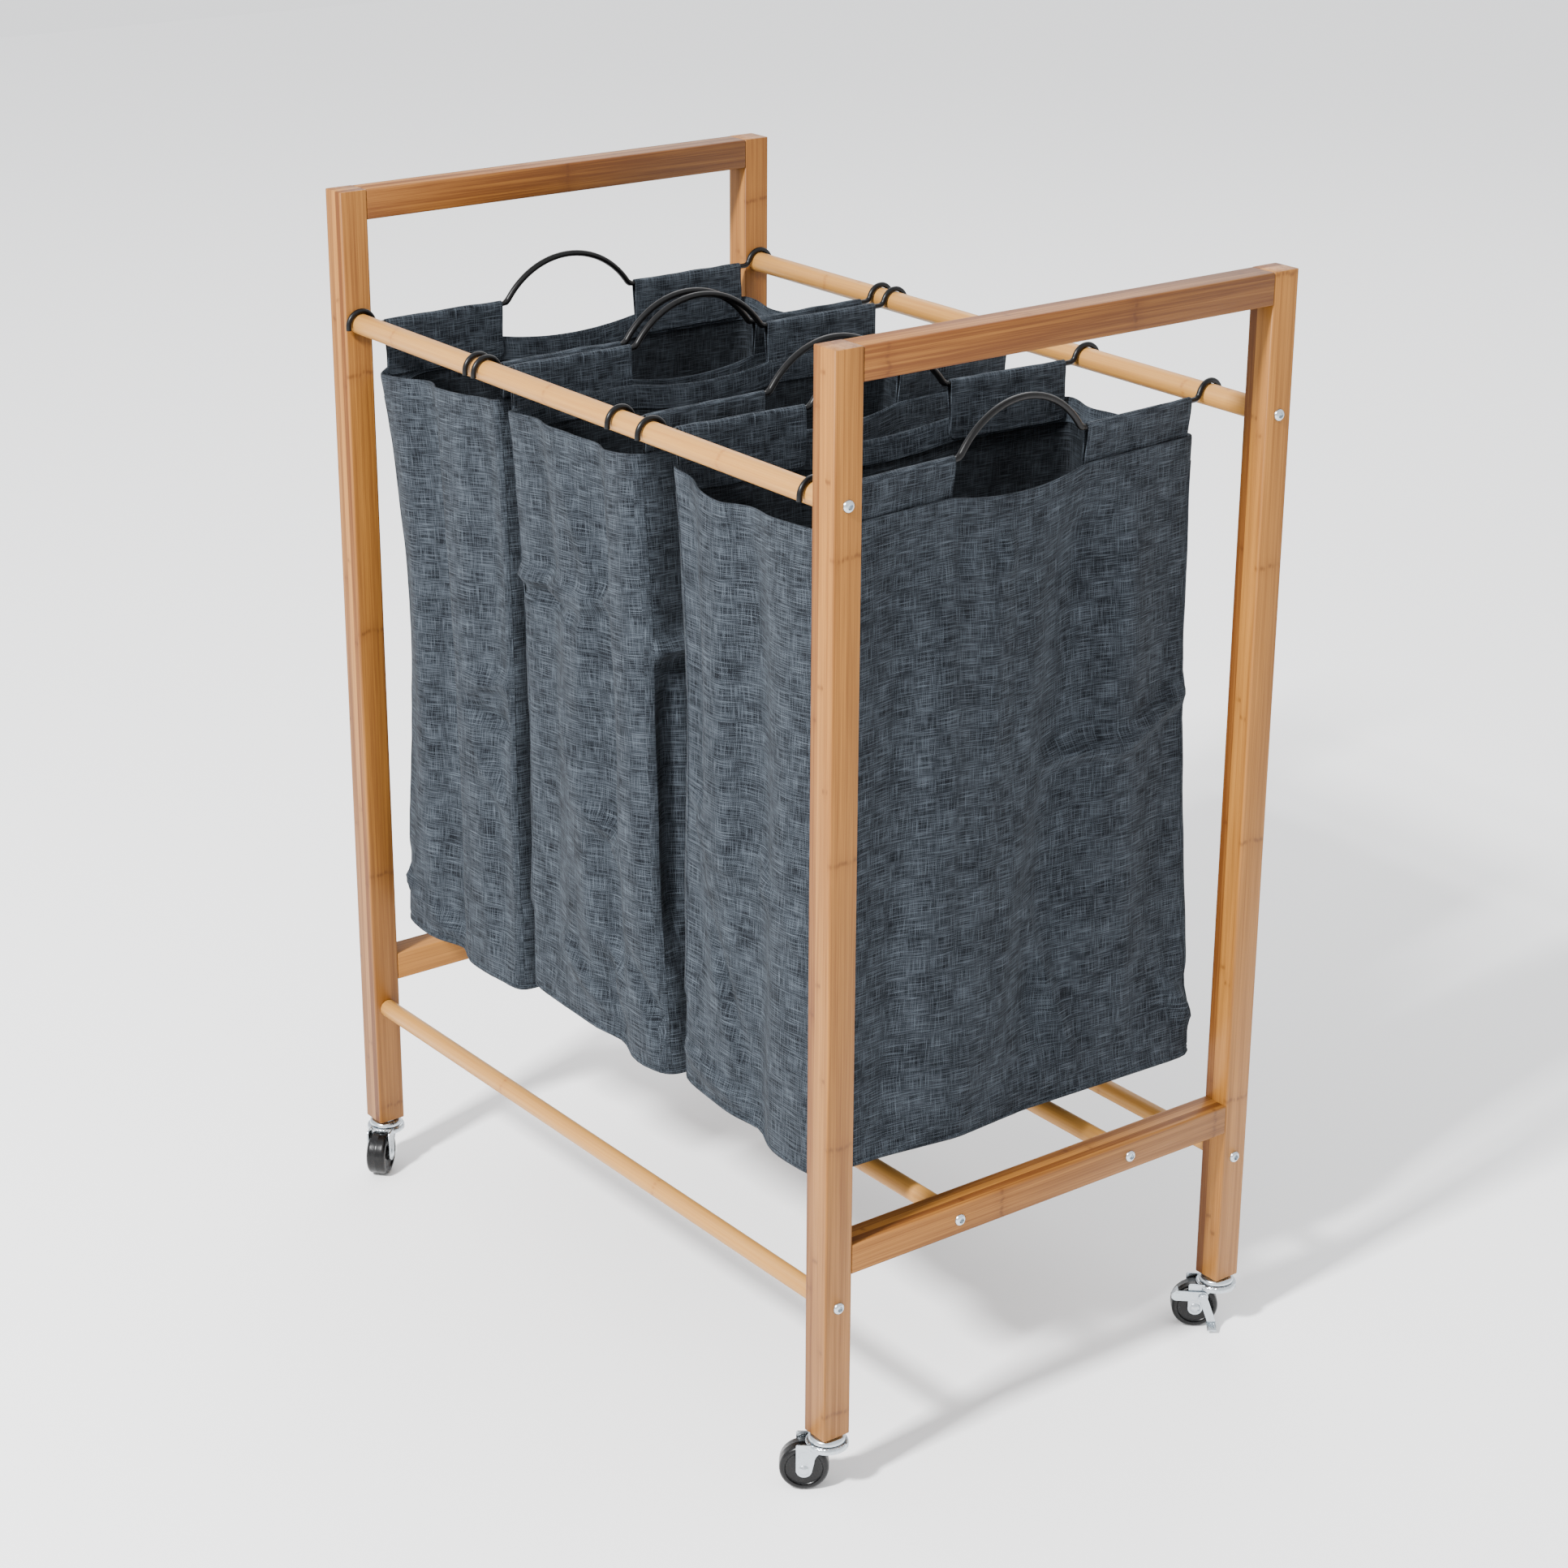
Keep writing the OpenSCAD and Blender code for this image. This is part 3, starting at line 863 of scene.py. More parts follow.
@dataclass
class Studio:
    """Camera, pale floor and soft light."""

    eye: Point = (2.1365, -1.6153, 1.4867)
    azimuth: float = 0.9236
    elevation: float = 0.3710
    roll: float = 0.0052
    lens: float = 76.4
    floor_size: float = 14.0
    lamps: list[tuple[str, Point, float, float]] = field(
        default_factory=lambda: [
            ("key", (0.75, -3.55, 3.75), 0.5, 640.0),
            ("fill", (4.2, 0.9, 2.2), 3.0, 6.0),
            ("back", (-2.6, 2.6, 3.6), 2.4, 60.0),
        ]
    )

    def camera(self) -> None:
        """Add the camera at the object's viewing angle."""
        data = bpy.data.cameras.new("camera")
        data.lens = self.lens
        data.sensor_width = 36.0
        data.clip_end = 60.0
        camera = bpy.data.objects.new("camera", data)
        bpy.context.scene.collection.objects.link(camera)
        turn = (
            Matrix.Rotation(self.azimuth, 4, "Z")
            @ Matrix.Rotation(math.pi / 2 - self.elevation, 4, "X")
            @ Matrix.Rotation(self.roll, 4, "Z")
        )
        camera.matrix_world = Matrix.Translation(self.eye) @ turn
        bpy.context.scene.camera = camera

    def floor(self) -> None:
        """Lay a pale floor under the object."""
        lay_aside()
        bpy.ops.mesh.primitive_plane_add(size=self.floor_size, location=(0, 0, 0))
        floor = bpy.context.object
        floor.name = "floor"
        material, _, shader = new_material("floor_paint")
        shader.inputs["Base Color"].default_value = (0.95, 0.95, 0.95, 1)
        shader.inputs["Roughness"].default_value = 0.75
        dress(floor, material)

    def light(self) -> None:
        """Hang the lamps and set the surrounding light."""
        world = bpy.data.worlds.new("surround")
        world.use_nodes = True
        sky = world.node_tree.nodes["Background"]
        sky.inputs["Color"].default_value = (0.97, 0.98, 1.0, 1)
        sky.inputs["Strength"].default_value = 1.55
        bpy.context.scene.world = world
        for name, spot, size, power in self.lamps:
            data = bpy.data.lights.new(name, "AREA")
            data.size = size
            data.energy = power
            lamp = bpy.data.objects.new(name, data)
            bpy.context.scene.collection.objects.link(lamp)
            aim = Vector((0, 0, 0.5)) - Vector(spot)
            turn = aim.to_track_quat("-Z", "Y").to_matrix().to_4x4()
            lamp.matrix_world = Matrix.Translation(spot) @ turn

    def build(self) -> None:
        """Set up the studio."""
        self.camera()
        self.floor()
        self.light()
        log.info("studio: camera, floor and %d lamps", len(self.lamps))


# --- Timber frame -----------------------------------------------------------------------


@dataclass
class TimberFrame:
    """Two bamboo end frames, six cross dowels and their bolts."""

    long_edge: float = 0.0017
    end_edge: float = 0.0004
    dowel_sides: int = 48
    head_radius: float = 0.005
    head_height: float = 0.0026
    socket_width: float = 0.0046
    socket_depth: float = 0.0022
    joint_face: float = 0.355
    bolt_spots: tuple[Ring, ...] = (
        (-0.213, 0.816),
        (0.213, 0.816),
        (-0.213, 0.167),
        (0.213, 0.167),
        (-0.0913, 0.2055),
        (0.0913, 0.2055),
    )

    def bar(self, node: str, grain: Grain, seed: float) -> bpy.types.Object:
        """Plane one square bar and ease its edges.

        Args:
            node: Frame node that it stands for.
            grain: Run of its fibres.
            seed: Number that sets its strips and knots.

        Returns:
            The finished bar.
        """
        low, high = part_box(node)
        piece = block(f"{node}_bar", low, high)
        axis = {Grain.ALONG_X: 0, Grain.ALONG_Y: 1, Grain.ALONG_Z: 2}[grain]
        bpy.ops.object.mode_set(mode="EDIT")
        pick("EDGE", lambda e: abs((e.verts[0].co - e.verts[1].co).normalized()[axis]) > 0.9)
        bpy.ops.mesh.bevel(offset=self.long_edge, segments=3, affect="EDGES")
        ends = (low[axis], high[axis])
        pick(
            "EDGE",
            lambda e: all(min(abs(v.co[axis] - end) for end in ends) < 1e-6 for v in e.verts)
            and len(e.link_faces) == 2
            and any(len(f.verts) > 4 for f in e.link_faces),
        )
        bpy.ops.mesh.bevel(offset=self.end_edge, segments=1, affect="EDGES")
        bpy.ops.object.mode_set(mode="OBJECT")
        dress(piece, BAR_BAMBOO.material(f"{node}_bamboo", grain, seed))
        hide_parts(node)
        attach(piece, "frame")
        return smooth(piece, 50)

    def dowel(self, node: str, seed: float) -> bpy.types.Object:
        """Turn one dowel between the end frames.

        Args:
            node: Frame node that it stands for.
            seed: Number that sets its grain.

        Returns:
            The finished dowel.
        """
        low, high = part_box(node)
        centre, size = (low + high) / 2, high - low
        lay_aside()
        bpy.ops.mesh.primitive_cylinder_add(
            vertices=self.dowel_sides,
            radius=size.z / 2,
            depth=size.x,
            location=centre,
            rotation=(0, math.pi / 2, 0),
        )
        piece = bpy.context.object
        piece.name = piece.data.name = f"{node}_rod"
        settle(piece)
        bpy.ops.object.mode_set(mode="EDIT")
        pick("EDGE", lambda e: abs(e.verts[0].co.x - e.verts[1].co.x) < 1e-6)
        bpy.ops.mesh.bevel(offset=0.0006, segments=2, affect="EDGES")
        bpy.ops.object.mode_set(mode="OBJECT")
        dress(piece, DOWEL_BAMBOO.material(f"{node}_bamboo", Grain.ALONG_X, seed))
        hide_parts(node)
        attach(piece, "frame")
        return smooth(piece, 35)

    def bolts(self) -> bpy.types.Object:
        """Make the button heads with their hex sockets, one modelled and the rest copied.

        Returns:
            All heads as one piece.
        """
        r, h = self.head_radius, self.head_height
        angles = (0.0, 0.25, 0.5, 0.75, 1.0, 1.25)
        dome = [(r * math.cos(a) ** 0.6, h * math.sin(a)) for a in angles]
        profile = [(0.0010, h), (0.0010, -0.010), (0.0029, -0.010), (0.0029, 0.0), *dome]
        head = turned("frame_bolt_heads", profile, 40)
        lay_aside()
        bpy.ops.mesh.primitive_cylinder_add(
            vertices=6,
            radius=self.socket_width / 2 / math.cos(math.pi / 6),
            depth=2 * self.socket_depth,
            location=(0, 0, h),
        )
        cutter = bpy.context.object
        modify(head, "BOOLEAN", object=cutter, operation="DIFFERENCE", solver="EXACT")
        bpy.data.objects.remove(cutter)
        low, high = Vector((-0.0022, -0.0022, 0.0002)), Vector((0.0022, 0.0022, 0.0006))
        floor_disc = block("socket_floor", low, high)
        head = joined("frame_bolt_heads", [head, floor_disc])
        heads = []
        for side in (-1, 1):
            for number, (y, z) in enumerate(self.bolt_spots):
                twin = copy_of(head, f"bolt_{side}_{number}")
                spot = Matrix.Translation((side * self.joint_face, y, z))
                spin = Matrix.Rotation(0.7 * number, 4, "Z")
                turn = Matrix.Rotation(side * math.pi / 2, 4, "Y") @ spin
                heads.append(place(twin, spot @ turn))
        bpy.data.objects.remove(head)
        piece = joined("frame_bolt_heads", heads)
        dress(piece, ZINC.material("bolt_zinc"))
        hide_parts("frame_bolts")
        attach(piece, "frame")
        return smooth(piece, 40)

    def build(self) -> None:
        """Build every bar, dowel and bolt."""
        seed = 0.0
        for end in ("left", "right"):
            for row in ("front", "back"):
                seed += 0.73
                self.bar(f"post_{row}_{end}", Grain.ALONG_Z, seed)
            for row in ("top", "lower"):
                seed += 0.73
                self.bar(f"{row}_rail_{end}", Grain.ALONG_Y, seed)
        names = ["hanging_dowel_front", "hanging_dowel_back", "base_dowel_front"]
        names += ["base_dowel_back", "base_dowel_mid_front", "base_dowel_mid_back"]
        for name in names:
            seed += 0.73
            self.dowel(name, seed)
        self.bolts()
        steel = ZINC.material("insert_zinc")
        for name in ("dowel_inserts", "stem_inserts"):
            dress(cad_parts[name], steel)
        pin_bamboo = DOWEL_BAMBOO.material("pin_bamboo", Grain.ALONG_Y, 0.4)
        dress(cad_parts["rail_joint_pins"], pin_bamboo)
        log.info("timber frame: 8 bars, %d dowels and the bolts", len(names))


# --- Casters ----------------------------------------------------------------------------


@dataclass
class Caster:
    """One swivel caster: threaded stem, stamped fork, riveted axle, wheel and brake."""

    corner: Corner
    axle: Ring = (0.018, -0.030)
    wheel_radius: float = 0.020
    wheel_half: float = 0.009
    tread_edge: float = 0.0034
    pressed_edge: float = 0.00035

    def stem(self) -> bpy.types.Object:
        """Turn the stem with its collar and bell.

        Returns:
            The finished stem.
        """
        profile = [
            (0.0006, 0.022), (0.0032, 0.022), (0.0040, 0.0212), (0.0040, 0.0002),
            (0.0098, 0.0), (0.0100, -0.0019), (0.0112, -0.0020), (0.0128, -0.0023),
            (0.0140, -0.0030), (0.0147, -0.0039), (0.0150, -0.0050), (0.0150, -0.0062),
            (0.0138, -0.0062), (0.0136, -0.0046), (0.0040, -0.0044), (0.0040, -0.0089),
            (0.0065, -0.0089), (0.0065, -0.0098), (0.0050, -0.0105), (0.0006, -0.0106),
        ]
        return turned(f"caster_{self.corner.label}_stem_turned", profile)

    def wheel(self) -> bpy.types.Object:
        """Turn the wheel, with a rounded tread, a dished face and a mould line.

        Returns:
            The finished wheel.
        """
        r, h, e = self.wheel_radius, self.wheel_half, self.tread_edge
        arc = [
            (r - e + e * math.sin(math.radians(a)), h - e + e * math.cos(math.radians(a)))
            for a in (0, 18, 36, 54, 72, 90)
        ]
        half = [
            (0.0026, h + 0.0003), (0.0058, h + 0.0003), (0.0065, h), (0.0068, h - 0.0020),
            (0.0080, h - 0.0024), (0.0140, h - 0.0024), (0.0150, h - 0.0018), (0.0156, h - 0.0003),
            *arc,
        ]
        ridge = [(r, 0.0004), (r + 0.00012, 0.0)]
        mirror = [(a, -b) for a, b in reversed(half + ridge[:1])]
        piece = turned(f"caster_{self.corner.label}_wheel_turned", [*half, *ridge, *mirror], 72)
        lift = Matrix.Translation((self.axle[0], 0, self.axle[1]))
        return place(piece, lift @ Matrix.Rotation(math.pi / 2, 4, "X"))

    def pressed(self, node: str, name: str) -> bpy.types.Object:
        """Ease the cut edges of a stamped steel part.

        Args:
            node: Frame node to work from.
            name: Name of the piece.

        Returns:
            The finished part.
        """
        piece = cast_of(node, name)
        modify(
            piece,
            "BEVEL",
            width=self.pressed_edge,
            segments=2,
            limit_method="ANGLE",
            angle_limit=math.radians(38),
            use_clamp_overlap=True,
        )
        return smooth(piece, 32)

    def build(self) -> None:
        """Build the caster's pieces and set them on their bodies."""
        label = self.corner.label
        zinc = ZINC.material(f"caster_{label}_zinc")
        plastic = WHEEL_PLASTIC.material(f"caster_{label}_plastic")
        stem = place(self.stem(), self.corner.placement)
        wheel = smooth(place(self.wheel(), self.corner.placement), 40)
        made = [
            (smooth(stem, 40), "frame", zinc, f"caster_{label}_stem", "zinc_plate"),
            (wheel, f"wheel_{label}", plastic, f"caster_{label}_wheel", "wheel_plastic"),
        ]
        steel = [
            (f"caster_{label}_fork", f"swivel_{label}"),
            (f"caster_{label}_axle", f"swivel_{label}"),
        ]
        if self.corner.braked:
            steel += [
                (f"brake_lever_{label}", f"brake_{label}"),
                (f"brake_pin_{label}", f"swivel_{label}"),
            ]
        for node, body in steel:
            made.append((self.pressed(node, f"{node}_steel"), body, zinc, node, "zinc_plate"))
        for piece, body, material, node, slot in made:
            dress(piece, material)
            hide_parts(node)
            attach(piece, body)
        dress(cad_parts[f"caster_{label}_balls"], zinc)
        log.info("caster %s: %d pieces", label, len(made))


# --- Hangers ----------------------------------------------------------------------------


@dataclass
class Hanger:
    """One wire hanger: hooks over both dowels, straight runs and a gripped handle arch."""

    bag: str
    side: str
    front: float
    back: float
    wire: float = 0.0023
    grip: float = 1.2
    hook_radius: float = 0.0125
    bend: float = 0.006
    arch_half: float = 0.070
    arch_bend: float = 0.008
    rise: float = 0.036
    tail: float = 0.003
    run_z: float = 0.8145
    hook_z: float = 0.8150

    def arc(
        self, centre: Ring, radius: float, start: float, sweep: float, steps: int
    ) -> list[Ring]:
        """Points on an arc in the hanger's own plane.

        Args:
            centre: Its centre.
            radius: Its radius.
            start: First angle in degrees.
            sweep: Turn in degrees.
            steps: Number of steps.

        Returns:
            The points, both ends included.
        """
        angles = [math.radians(start + sweep * k / steps) for k in range(steps + 1)]
        along, up = centre
        return [(along + radius * math.cos(a), up + radius * math.sin(a)) for a in angles]

    def line(self) -> list[tuple[float, float, float]]:
        """Centre line of the wire, with its thickness at each point.

        Returns:
            Depth, height and thickness factor of each point.
        """
        reach = self.hook_radius + self.bend
        turn = math.degrees(math.acos(1 - (self.hook_z + self.hook_radius - self.run_z) / reach))
        run_end = HOOK_Y - reach * math.sin(math.radians(turn))
        arch_turn = 2 * math.degrees(math.atan2(self.rise, self.arch_half))
        arch_radius = self.arch_half / math.sin(math.radians(arch_turn)) - self.arch_bend
        half = [(HOOK_Y + self.hook_radius, self.hook_z - self.tail)]
        half += self.arc((HOOK_Y, self.hook_z), self.hook_radius, 0, 90 + turn, 18)
        half += self.arc((run_end, self.run_z + self.bend), self.bend, turn - 90, -turn, 6)
        foot = (self.arch_half, self.run_z + self.arch_bend)
        half += self.arc(foot, self.arch_bend, -90, -arch_turn, 7)
        centre = (0.0, self.run_z + self.rise - arch_radius)
        arch = self.arc(centre, arch_radius, 90 - arch_turn, 2 * arch_turn, 30)[1:-1]
        thin = len(half) - 5
        points = [(y, z, 1.0 if n < thin else self.grip) for n, (y, z) in enumerate(half)]
        whole = points + [(y, z, self.grip) for y, z in arch]
        return whole + [(-y, z, thick) for y, z, thick in reversed(points)]

    def build(self, material: bpy.types.Material) -> bpy.types.Object:
        """Bend the wire.

        Args:
            material: Its coating.

        Returns:
            The finished hanger.
        """
        node = f"bag_{self.bag}_hanger_{self.side}"
        drawn = bpy.data.curves.new(node, "CURVE")
        drawn.dimensions = "3D"
        drawn.bevel_depth = self.wire
        drawn.bevel_resolution = 4
        drawn.use_fill_caps = True
        spline = drawn.splines.new("POLY")
        line = self.line()
        spline.points.add(len(line) - 1)
        for point, (y, z, thick) in zip(spline.points, line):
            x = self.front + (self.back - self.front) * (y + HOOK_Y) / (2 * HOOK_Y)
            point.co = (x, y, z, 1)
            point.radius = thick
        piece = bpy.data.objects.new(f"{node}_wire", drawn)
        bpy.context.scene.collection.objects.link(piece)
        take(piece)
        bpy.ops.object.convert(target="MESH")
        piece = bpy.context.object
        dress(piece, material)
        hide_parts(node)
        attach(piece, f"bag_{self.bag}")
        return smooth(piece, 50)


# --- Bags -------------------------------------------------------------------------------


CREASE_DEPTH = 2.0


@dataclass(frozen=True)
class Fold:
    """An upright fold in one panel: a ridge, or a valley where its size is below 0."""

    panel: int
    at: float
    width: float
    size: float
    low: float = 0.0
    high: float = 1.0
    lean: float = 0.0

    def lift(self, share: float, height: float) -> float:
        """Distance that the fold lifts the cloth.

        Args:
            share: Place across the panel, 0 to 1.
            height: Place up the panel, 0 to 1.

        Returns:
            Lift outward, in metres.
        """
        middle = self.at + self.lean * (height - 0.5)
        slope = max(0.0, 1.0 - abs(share - middle) / self.width)
        from_low = max(0.0, (height - self.low) / FOLD_FADE)
        from_high = max(0.0, (self.high - height) / FOLD_FADE)
        return self.size * slope * min(1.0, from_low, from_high)


@dataclass(frozen=True)
class Crease:
    """A pressed line across one panel of a bag, between two points of share and height."""

    panel: int
    start: Ring
    end: Ring
    size: float
    width: float = 0.012

    def lift(self, share: float, height: float, span: float, rise: float) -> float:
        """Distance that the crease lifts the cloth.

        Args:
            share: Place across the panel, 0 to 1.
            height: Place up the panel, 0 to 1.
            span: Width of the panel in metres.
            rise: Height of the panel in metres.

        Returns:
            Lift outward, in metres.
        """
        here = Vector((share * span, height * rise))
        first = Vector((self.start[0] * span, self.start[1] * rise))
        line = Vector((self.end[0] * span, self.end[1] * rise)) - first
        along = clamped((here - first).dot(line) / line.length_squared)
        off = (here - first - line * along).length
        ends = clamped(1.0 - 2.2 * abs(along - 0.5) ** 2)
        return CREASE_DEPTH * self.size * ends * max(0.0, 1.0 - off / self.width)


@dataclass
class Bag:
    """One hanging bag: a closed wall of cloth, a base, a turned hem and four hanger sleeves."""

    name: str
    hooks: tuple[float, float, float, float]
    base: tuple[Point, Point, Point, Point]
    front_hem: tuple[Ring, ...]
    folds: tuple[Fold, ...]
    creases: tuple[Crease, ...]
    walls: tuple[float, float]
    pinch: tuple[float, float, float, float]
    seed: float
    hem_z: float = 0.785
    hem_turn: float = 0.020
    hem_gap: float = 0.0030
    notch: float = 0.071
    sleeve_end: float = 0.190
    sleeve_low: float = 0.768
    wire_z: float = 0.8145
    loop_radius: float = 0.0032
    notch_drop: float = 0.0075
    notch_gape: float = 0.004
    hem_stand: float = 0.0030
    front_columns: int = 22
    rows: int = 52
    cloth: float = 0.0011
    tuck: float = 0.011
    depth_limit: float = 0.2025
    ease: float = 0.004
    rumple: float = 0.0009
    slack: tuple[float, float] = (1.028, 1.006)
    frames: int = 32
    repress: float = 0.40
    seam_half: float = 0.0036
    apart: float = 4.0
    span: float = 0.20
    widths: list[float] = field(default_factory=list)
    hung: list[list[Vector]] = field(default_factory=list)

    def hook_line(self, side: int, y: float) -> float:
        """X of the left or right hanger at a depth.

        Args:
            side: 0 for the left hanger, 1 for the right.
            y: Depth.

        Returns:
            X in metres.
        """
        front, back = self.hooks[side], self.hooks[2 + side]
        return front + (back - front) * (y + HOOK_Y) / (2 * HOOK_Y)

    def side_steps(self) -> list[float]:
        """Shares of a side panel's depth at its columns, snapped to the sleeves' ends.

        Returns:
            Shares from 0 to 1, the last left out.
        """
        depth = SIDE_HALF
        marks = [-depth, -self.sleeve_end, -self.notch, self.notch, self.sleeve_end, depth]
        counts = [1, 12, 14, 12, 1]
        places: list[float] = []
        for first, last, count in zip(marks, marks[1:], counts):
            places += [first + (last - first) * k / count for k in range(count)]
        return [(y + depth) / (2 * depth) for y in places]

    def columns(self) -> list[tuple[int, float]]:
        """Panel and share of each column, from the front left corner by the right side.

        Returns:
            Panel 0 front, 1 right, 2 back, 3 left, with the share along it.
        """
        front = [k / self.front_columns for k in range(self.front_columns)]
        side = self.side_steps()
        shares = (front, side, front, side)
        return [(panel, share) for panel in range(4) for share in shares[panel]]

    def corner(self, number: int, height: float) -> Vector:
        """Corner of the bag at a height, drawn in at its middle.

        Args:
            number: 0 front left, 1 front right, 2 back right, 3 back left.
            height: Share of the height.

        Returns:
            Its place, without Z.
        """
        side = 1 if number in (1, 2) else 0
        waist = max(0.0, math.sin(math.pi * height)) ** 0.7
        y = -0.2005 + self.tuck * waist if number < 2 else 0.1995 - 0.5 * self.tuck * waist
        top = Vector((self.hook_line(side, y), y, 0))
        low = Vector((self.base[number][0], self.base[number][1], 0))
        ease = height**0.8
        spot = low.lerp(top, ease)
        toward = Vector((-1 if side else 1, -0.35 if number >= 2 else 0.35, 0))
        return spot + toward * self.pinch[number] * max(0.0, math.sin(math.pi * height)) ** 1.2

    def hem_height(self, panel: int, share: float) -> float:
        """Z of the hem along the front edge, level elsewhere but for the notches.

        Args:
            panel: Panel number.
            share: Share along it.

        Returns:
            Z in metres.
        """
        if panel == 0:
            marks = self.front_hem
            for (a, low), (b, high) in zip(marks, marks[1:]):
                if share <= b:
                    return low + (high - low) * (share - a) / (b - a)
        if panel == 2:
            return self.hem_z - 0.004 * math.sin(math.pi * share)
        if panel in (1, 3):
            y = abs(share - 0.5) * 2 * SIDE_HALF
            ends = self.front_hem[-1][1] if panel == 1 else self.front_hem[0][1]
            front = share if panel == 1 else 1 - share
            blend = max(0.0, 1 - front / 0.1)
            z = self.hem_z + (ends - self.hem_z) * blend
            if y < self.notch:
                z -= self.notch_drop * math.cos(math.pi / 2 * y / self.notch) ** 0.8
            return z
        return self.hem_z

    def pressed(
        self, panel: int, share: float, height: float, span: float, sharp: bool = False
    ) -> float:
        """Lift of the folds and creases at one spot.

        Args:
            panel: Panel number.
            share: Share along it.
            height: Share of the height.
            span: Width of a front panel in metres.
            sharp: True for the creases with a share of the folds, False for the folds alone.

        Returns:
            Lift outward, in metres.
        """
        folds = sum(f.lift(share, height) for f in self.folds if f.panel == panel)
        if not sharp:
            return folds
        rise = self.hem_z - BASE_Z
        wide = span if panel in (0, 2) else 2 * SIDE_HALF
        creases = sum(c.lift(share, height, wide, rise) for c in self.creases if c.panel == panel)
        return self.repress * folds + creases

    def wall(self) -> list[list[Vector]]:
        """Cut and hang the wall, before it settles.

        Returns:
            Rows of points from the base to the hem.
        """
        columns = self.columns()
        rows: list[list[Vector]] = []
        for row in range(self.rows + 1):
            height = row / self.rows
            corners = [self.corner(number, height) for number in range(4)]
            ring: list[Vector] = []
            for panel, share in columns:
                first, last = corners[panel], corners[(panel + 1) % 4]
                along = last - first
                out = Vector((along.y, -along.x, 0)).normalized()
                spot = first.lerp(last, share)
                swell = 0.002 if panel in (0, 2) else 0.004
                lift = swell * 4 * share * (1 - share) * math.sin(math.pi * height)
                lift += self.pressed(panel, share, height, along.length)
                if panel in (1, 3) and height > 0.9:
                    y = abs(share - 0.5) * 2 * SIDE_HALF
                    lift += self.hem_stand * (height - 0.9) / 0.1
                    if y < self.notch:
                        open_up = math.cos(math.pi / 2 * y / self.notch) * (height - 0.9) / 0.1
                        lift += self.notch_gape * open_up
                wave = noise.noise(Vector((spot.x * 13, spot.y * 13, height * 5 + self.seed)))
                lift += 0.0035 * wave * math.sin(math.pi * height)
                near_z, far_z = self.base[panel][2], self.base[(panel + 1) % 4][2]
                low = near_z + (far_z - near_z) * share
                spot = spot + out * lift
                spot.z = low + (self.hem_height(panel, share) - low) * height
                ring.append(spot)
            rows.append(self.rounded(ring, height))
        return rows

    def rounded(self, ring: list[Vector], height: float) -> list[Vector]:
        """Round the corners of one ring, more towards the base.

        Args:
            ring: Points of the ring.
            height: Share of the height.

        Returns:
            The rounded ring.
        """
        count = len(ring)
        starts = self.corner_columns()
        reach = 2 if height < 0.15 else 1
        passes = 3 if height < 0.15 else 1
        for _ in range(passes):
            fresh = list(ring)
            for start in starts:
                for k in range(start - reach, start + reach + 1):
                    before, after = ring[(k - 1) % count], ring[(k + 1) % count]
                    middle = (before + after) / 2
                    fresh[k % count] = ring[k % count].lerp(
                        Vector((middle.x, middle.y, ring[k % count].z)), 0.5
                    )
            ring = fresh
        return ring

    def hang(self, rows: list[list[Vector]]) -> list[list[Vector]]:
        """Let the wall settle as cloth between its hem and its base.

        Args:
            rows: The wall as cut.

        Returns:
            The wall as it hangs.
        """
        count = len(rows[0])
        points = [spot for ring in rows for spot in ring]
        faces = []
        for first in range(0, count * (len(rows) - 1), count):
            for c in range(count):
                here, beside = first + c, first + (c + 1) % count
                faces.append((here, beside, beside + count, here + count))
        drape = from_grid(f"drape_{self.name}", points, faces)
        middle = Vector((sum(p.x for p in points) / len(points), 0, 0))
        take(drape)
        drape.shape_key_add(name="Hung")
        cut = drape.shape_key_add(name="Cut")
        wide, tall = self.slack
        for number, spot in enumerate(points):
            row = number // count
            share = max(0.0, math.sin(math.pi * row / (len(rows) - 1))) ** 0.35
            across = 1 + (wide - 1) * share
            cut.data[number].co = Vector(
                (
                    middle.x + (spot.x - middle.x) * across,
                    spot.y * across,
                    rows[-1][0].z + (spot.z - rows[-1][0].z) * tall,
                )
            )
        cut.value = 0.0
        held = drape.vertex_groups.new(name="held")
        last = len(points) - count
        held.add([n for n in range(len(points)) if n < count or n >= last - count], 1.0, "REPLACE")
        cloth = drape.modifiers.new("Hang", "CLOTH")
        cloth.settings.quality = 7
        cloth.settings.mass = 0.06
        cloth.settings.air_damping = 2.0
        cloth.settings.tension_stiffness = 30
        cloth.settings.compression_stiffness = 30
        cloth.settings.shear_stiffness = 12
        cloth.settings.bending_stiffness = 1.2
        cloth.settings.vertex_group_mass = "held"
        cloth.settings.rest_shape_key = cut
        cloth.collision_settings.use_collision = False
        cloth.point_cache.frame_start = 1
        cloth.point_cache.frame_end = self.frames
        for number in range(1, self.frames + 1):
            bpy.context.scene.frame_set(number)
        shown = drape.evaluated_get(bpy.context.evaluated_depsgraph_get())
        settled = [vert.co.copy() for vert in shown.data.vertices]
        bpy.context.scene.frame_set(1)
        bpy.data.objects.remove(drape)
        return [settled[k : k + count] for k in range(0, len(settled), count)]

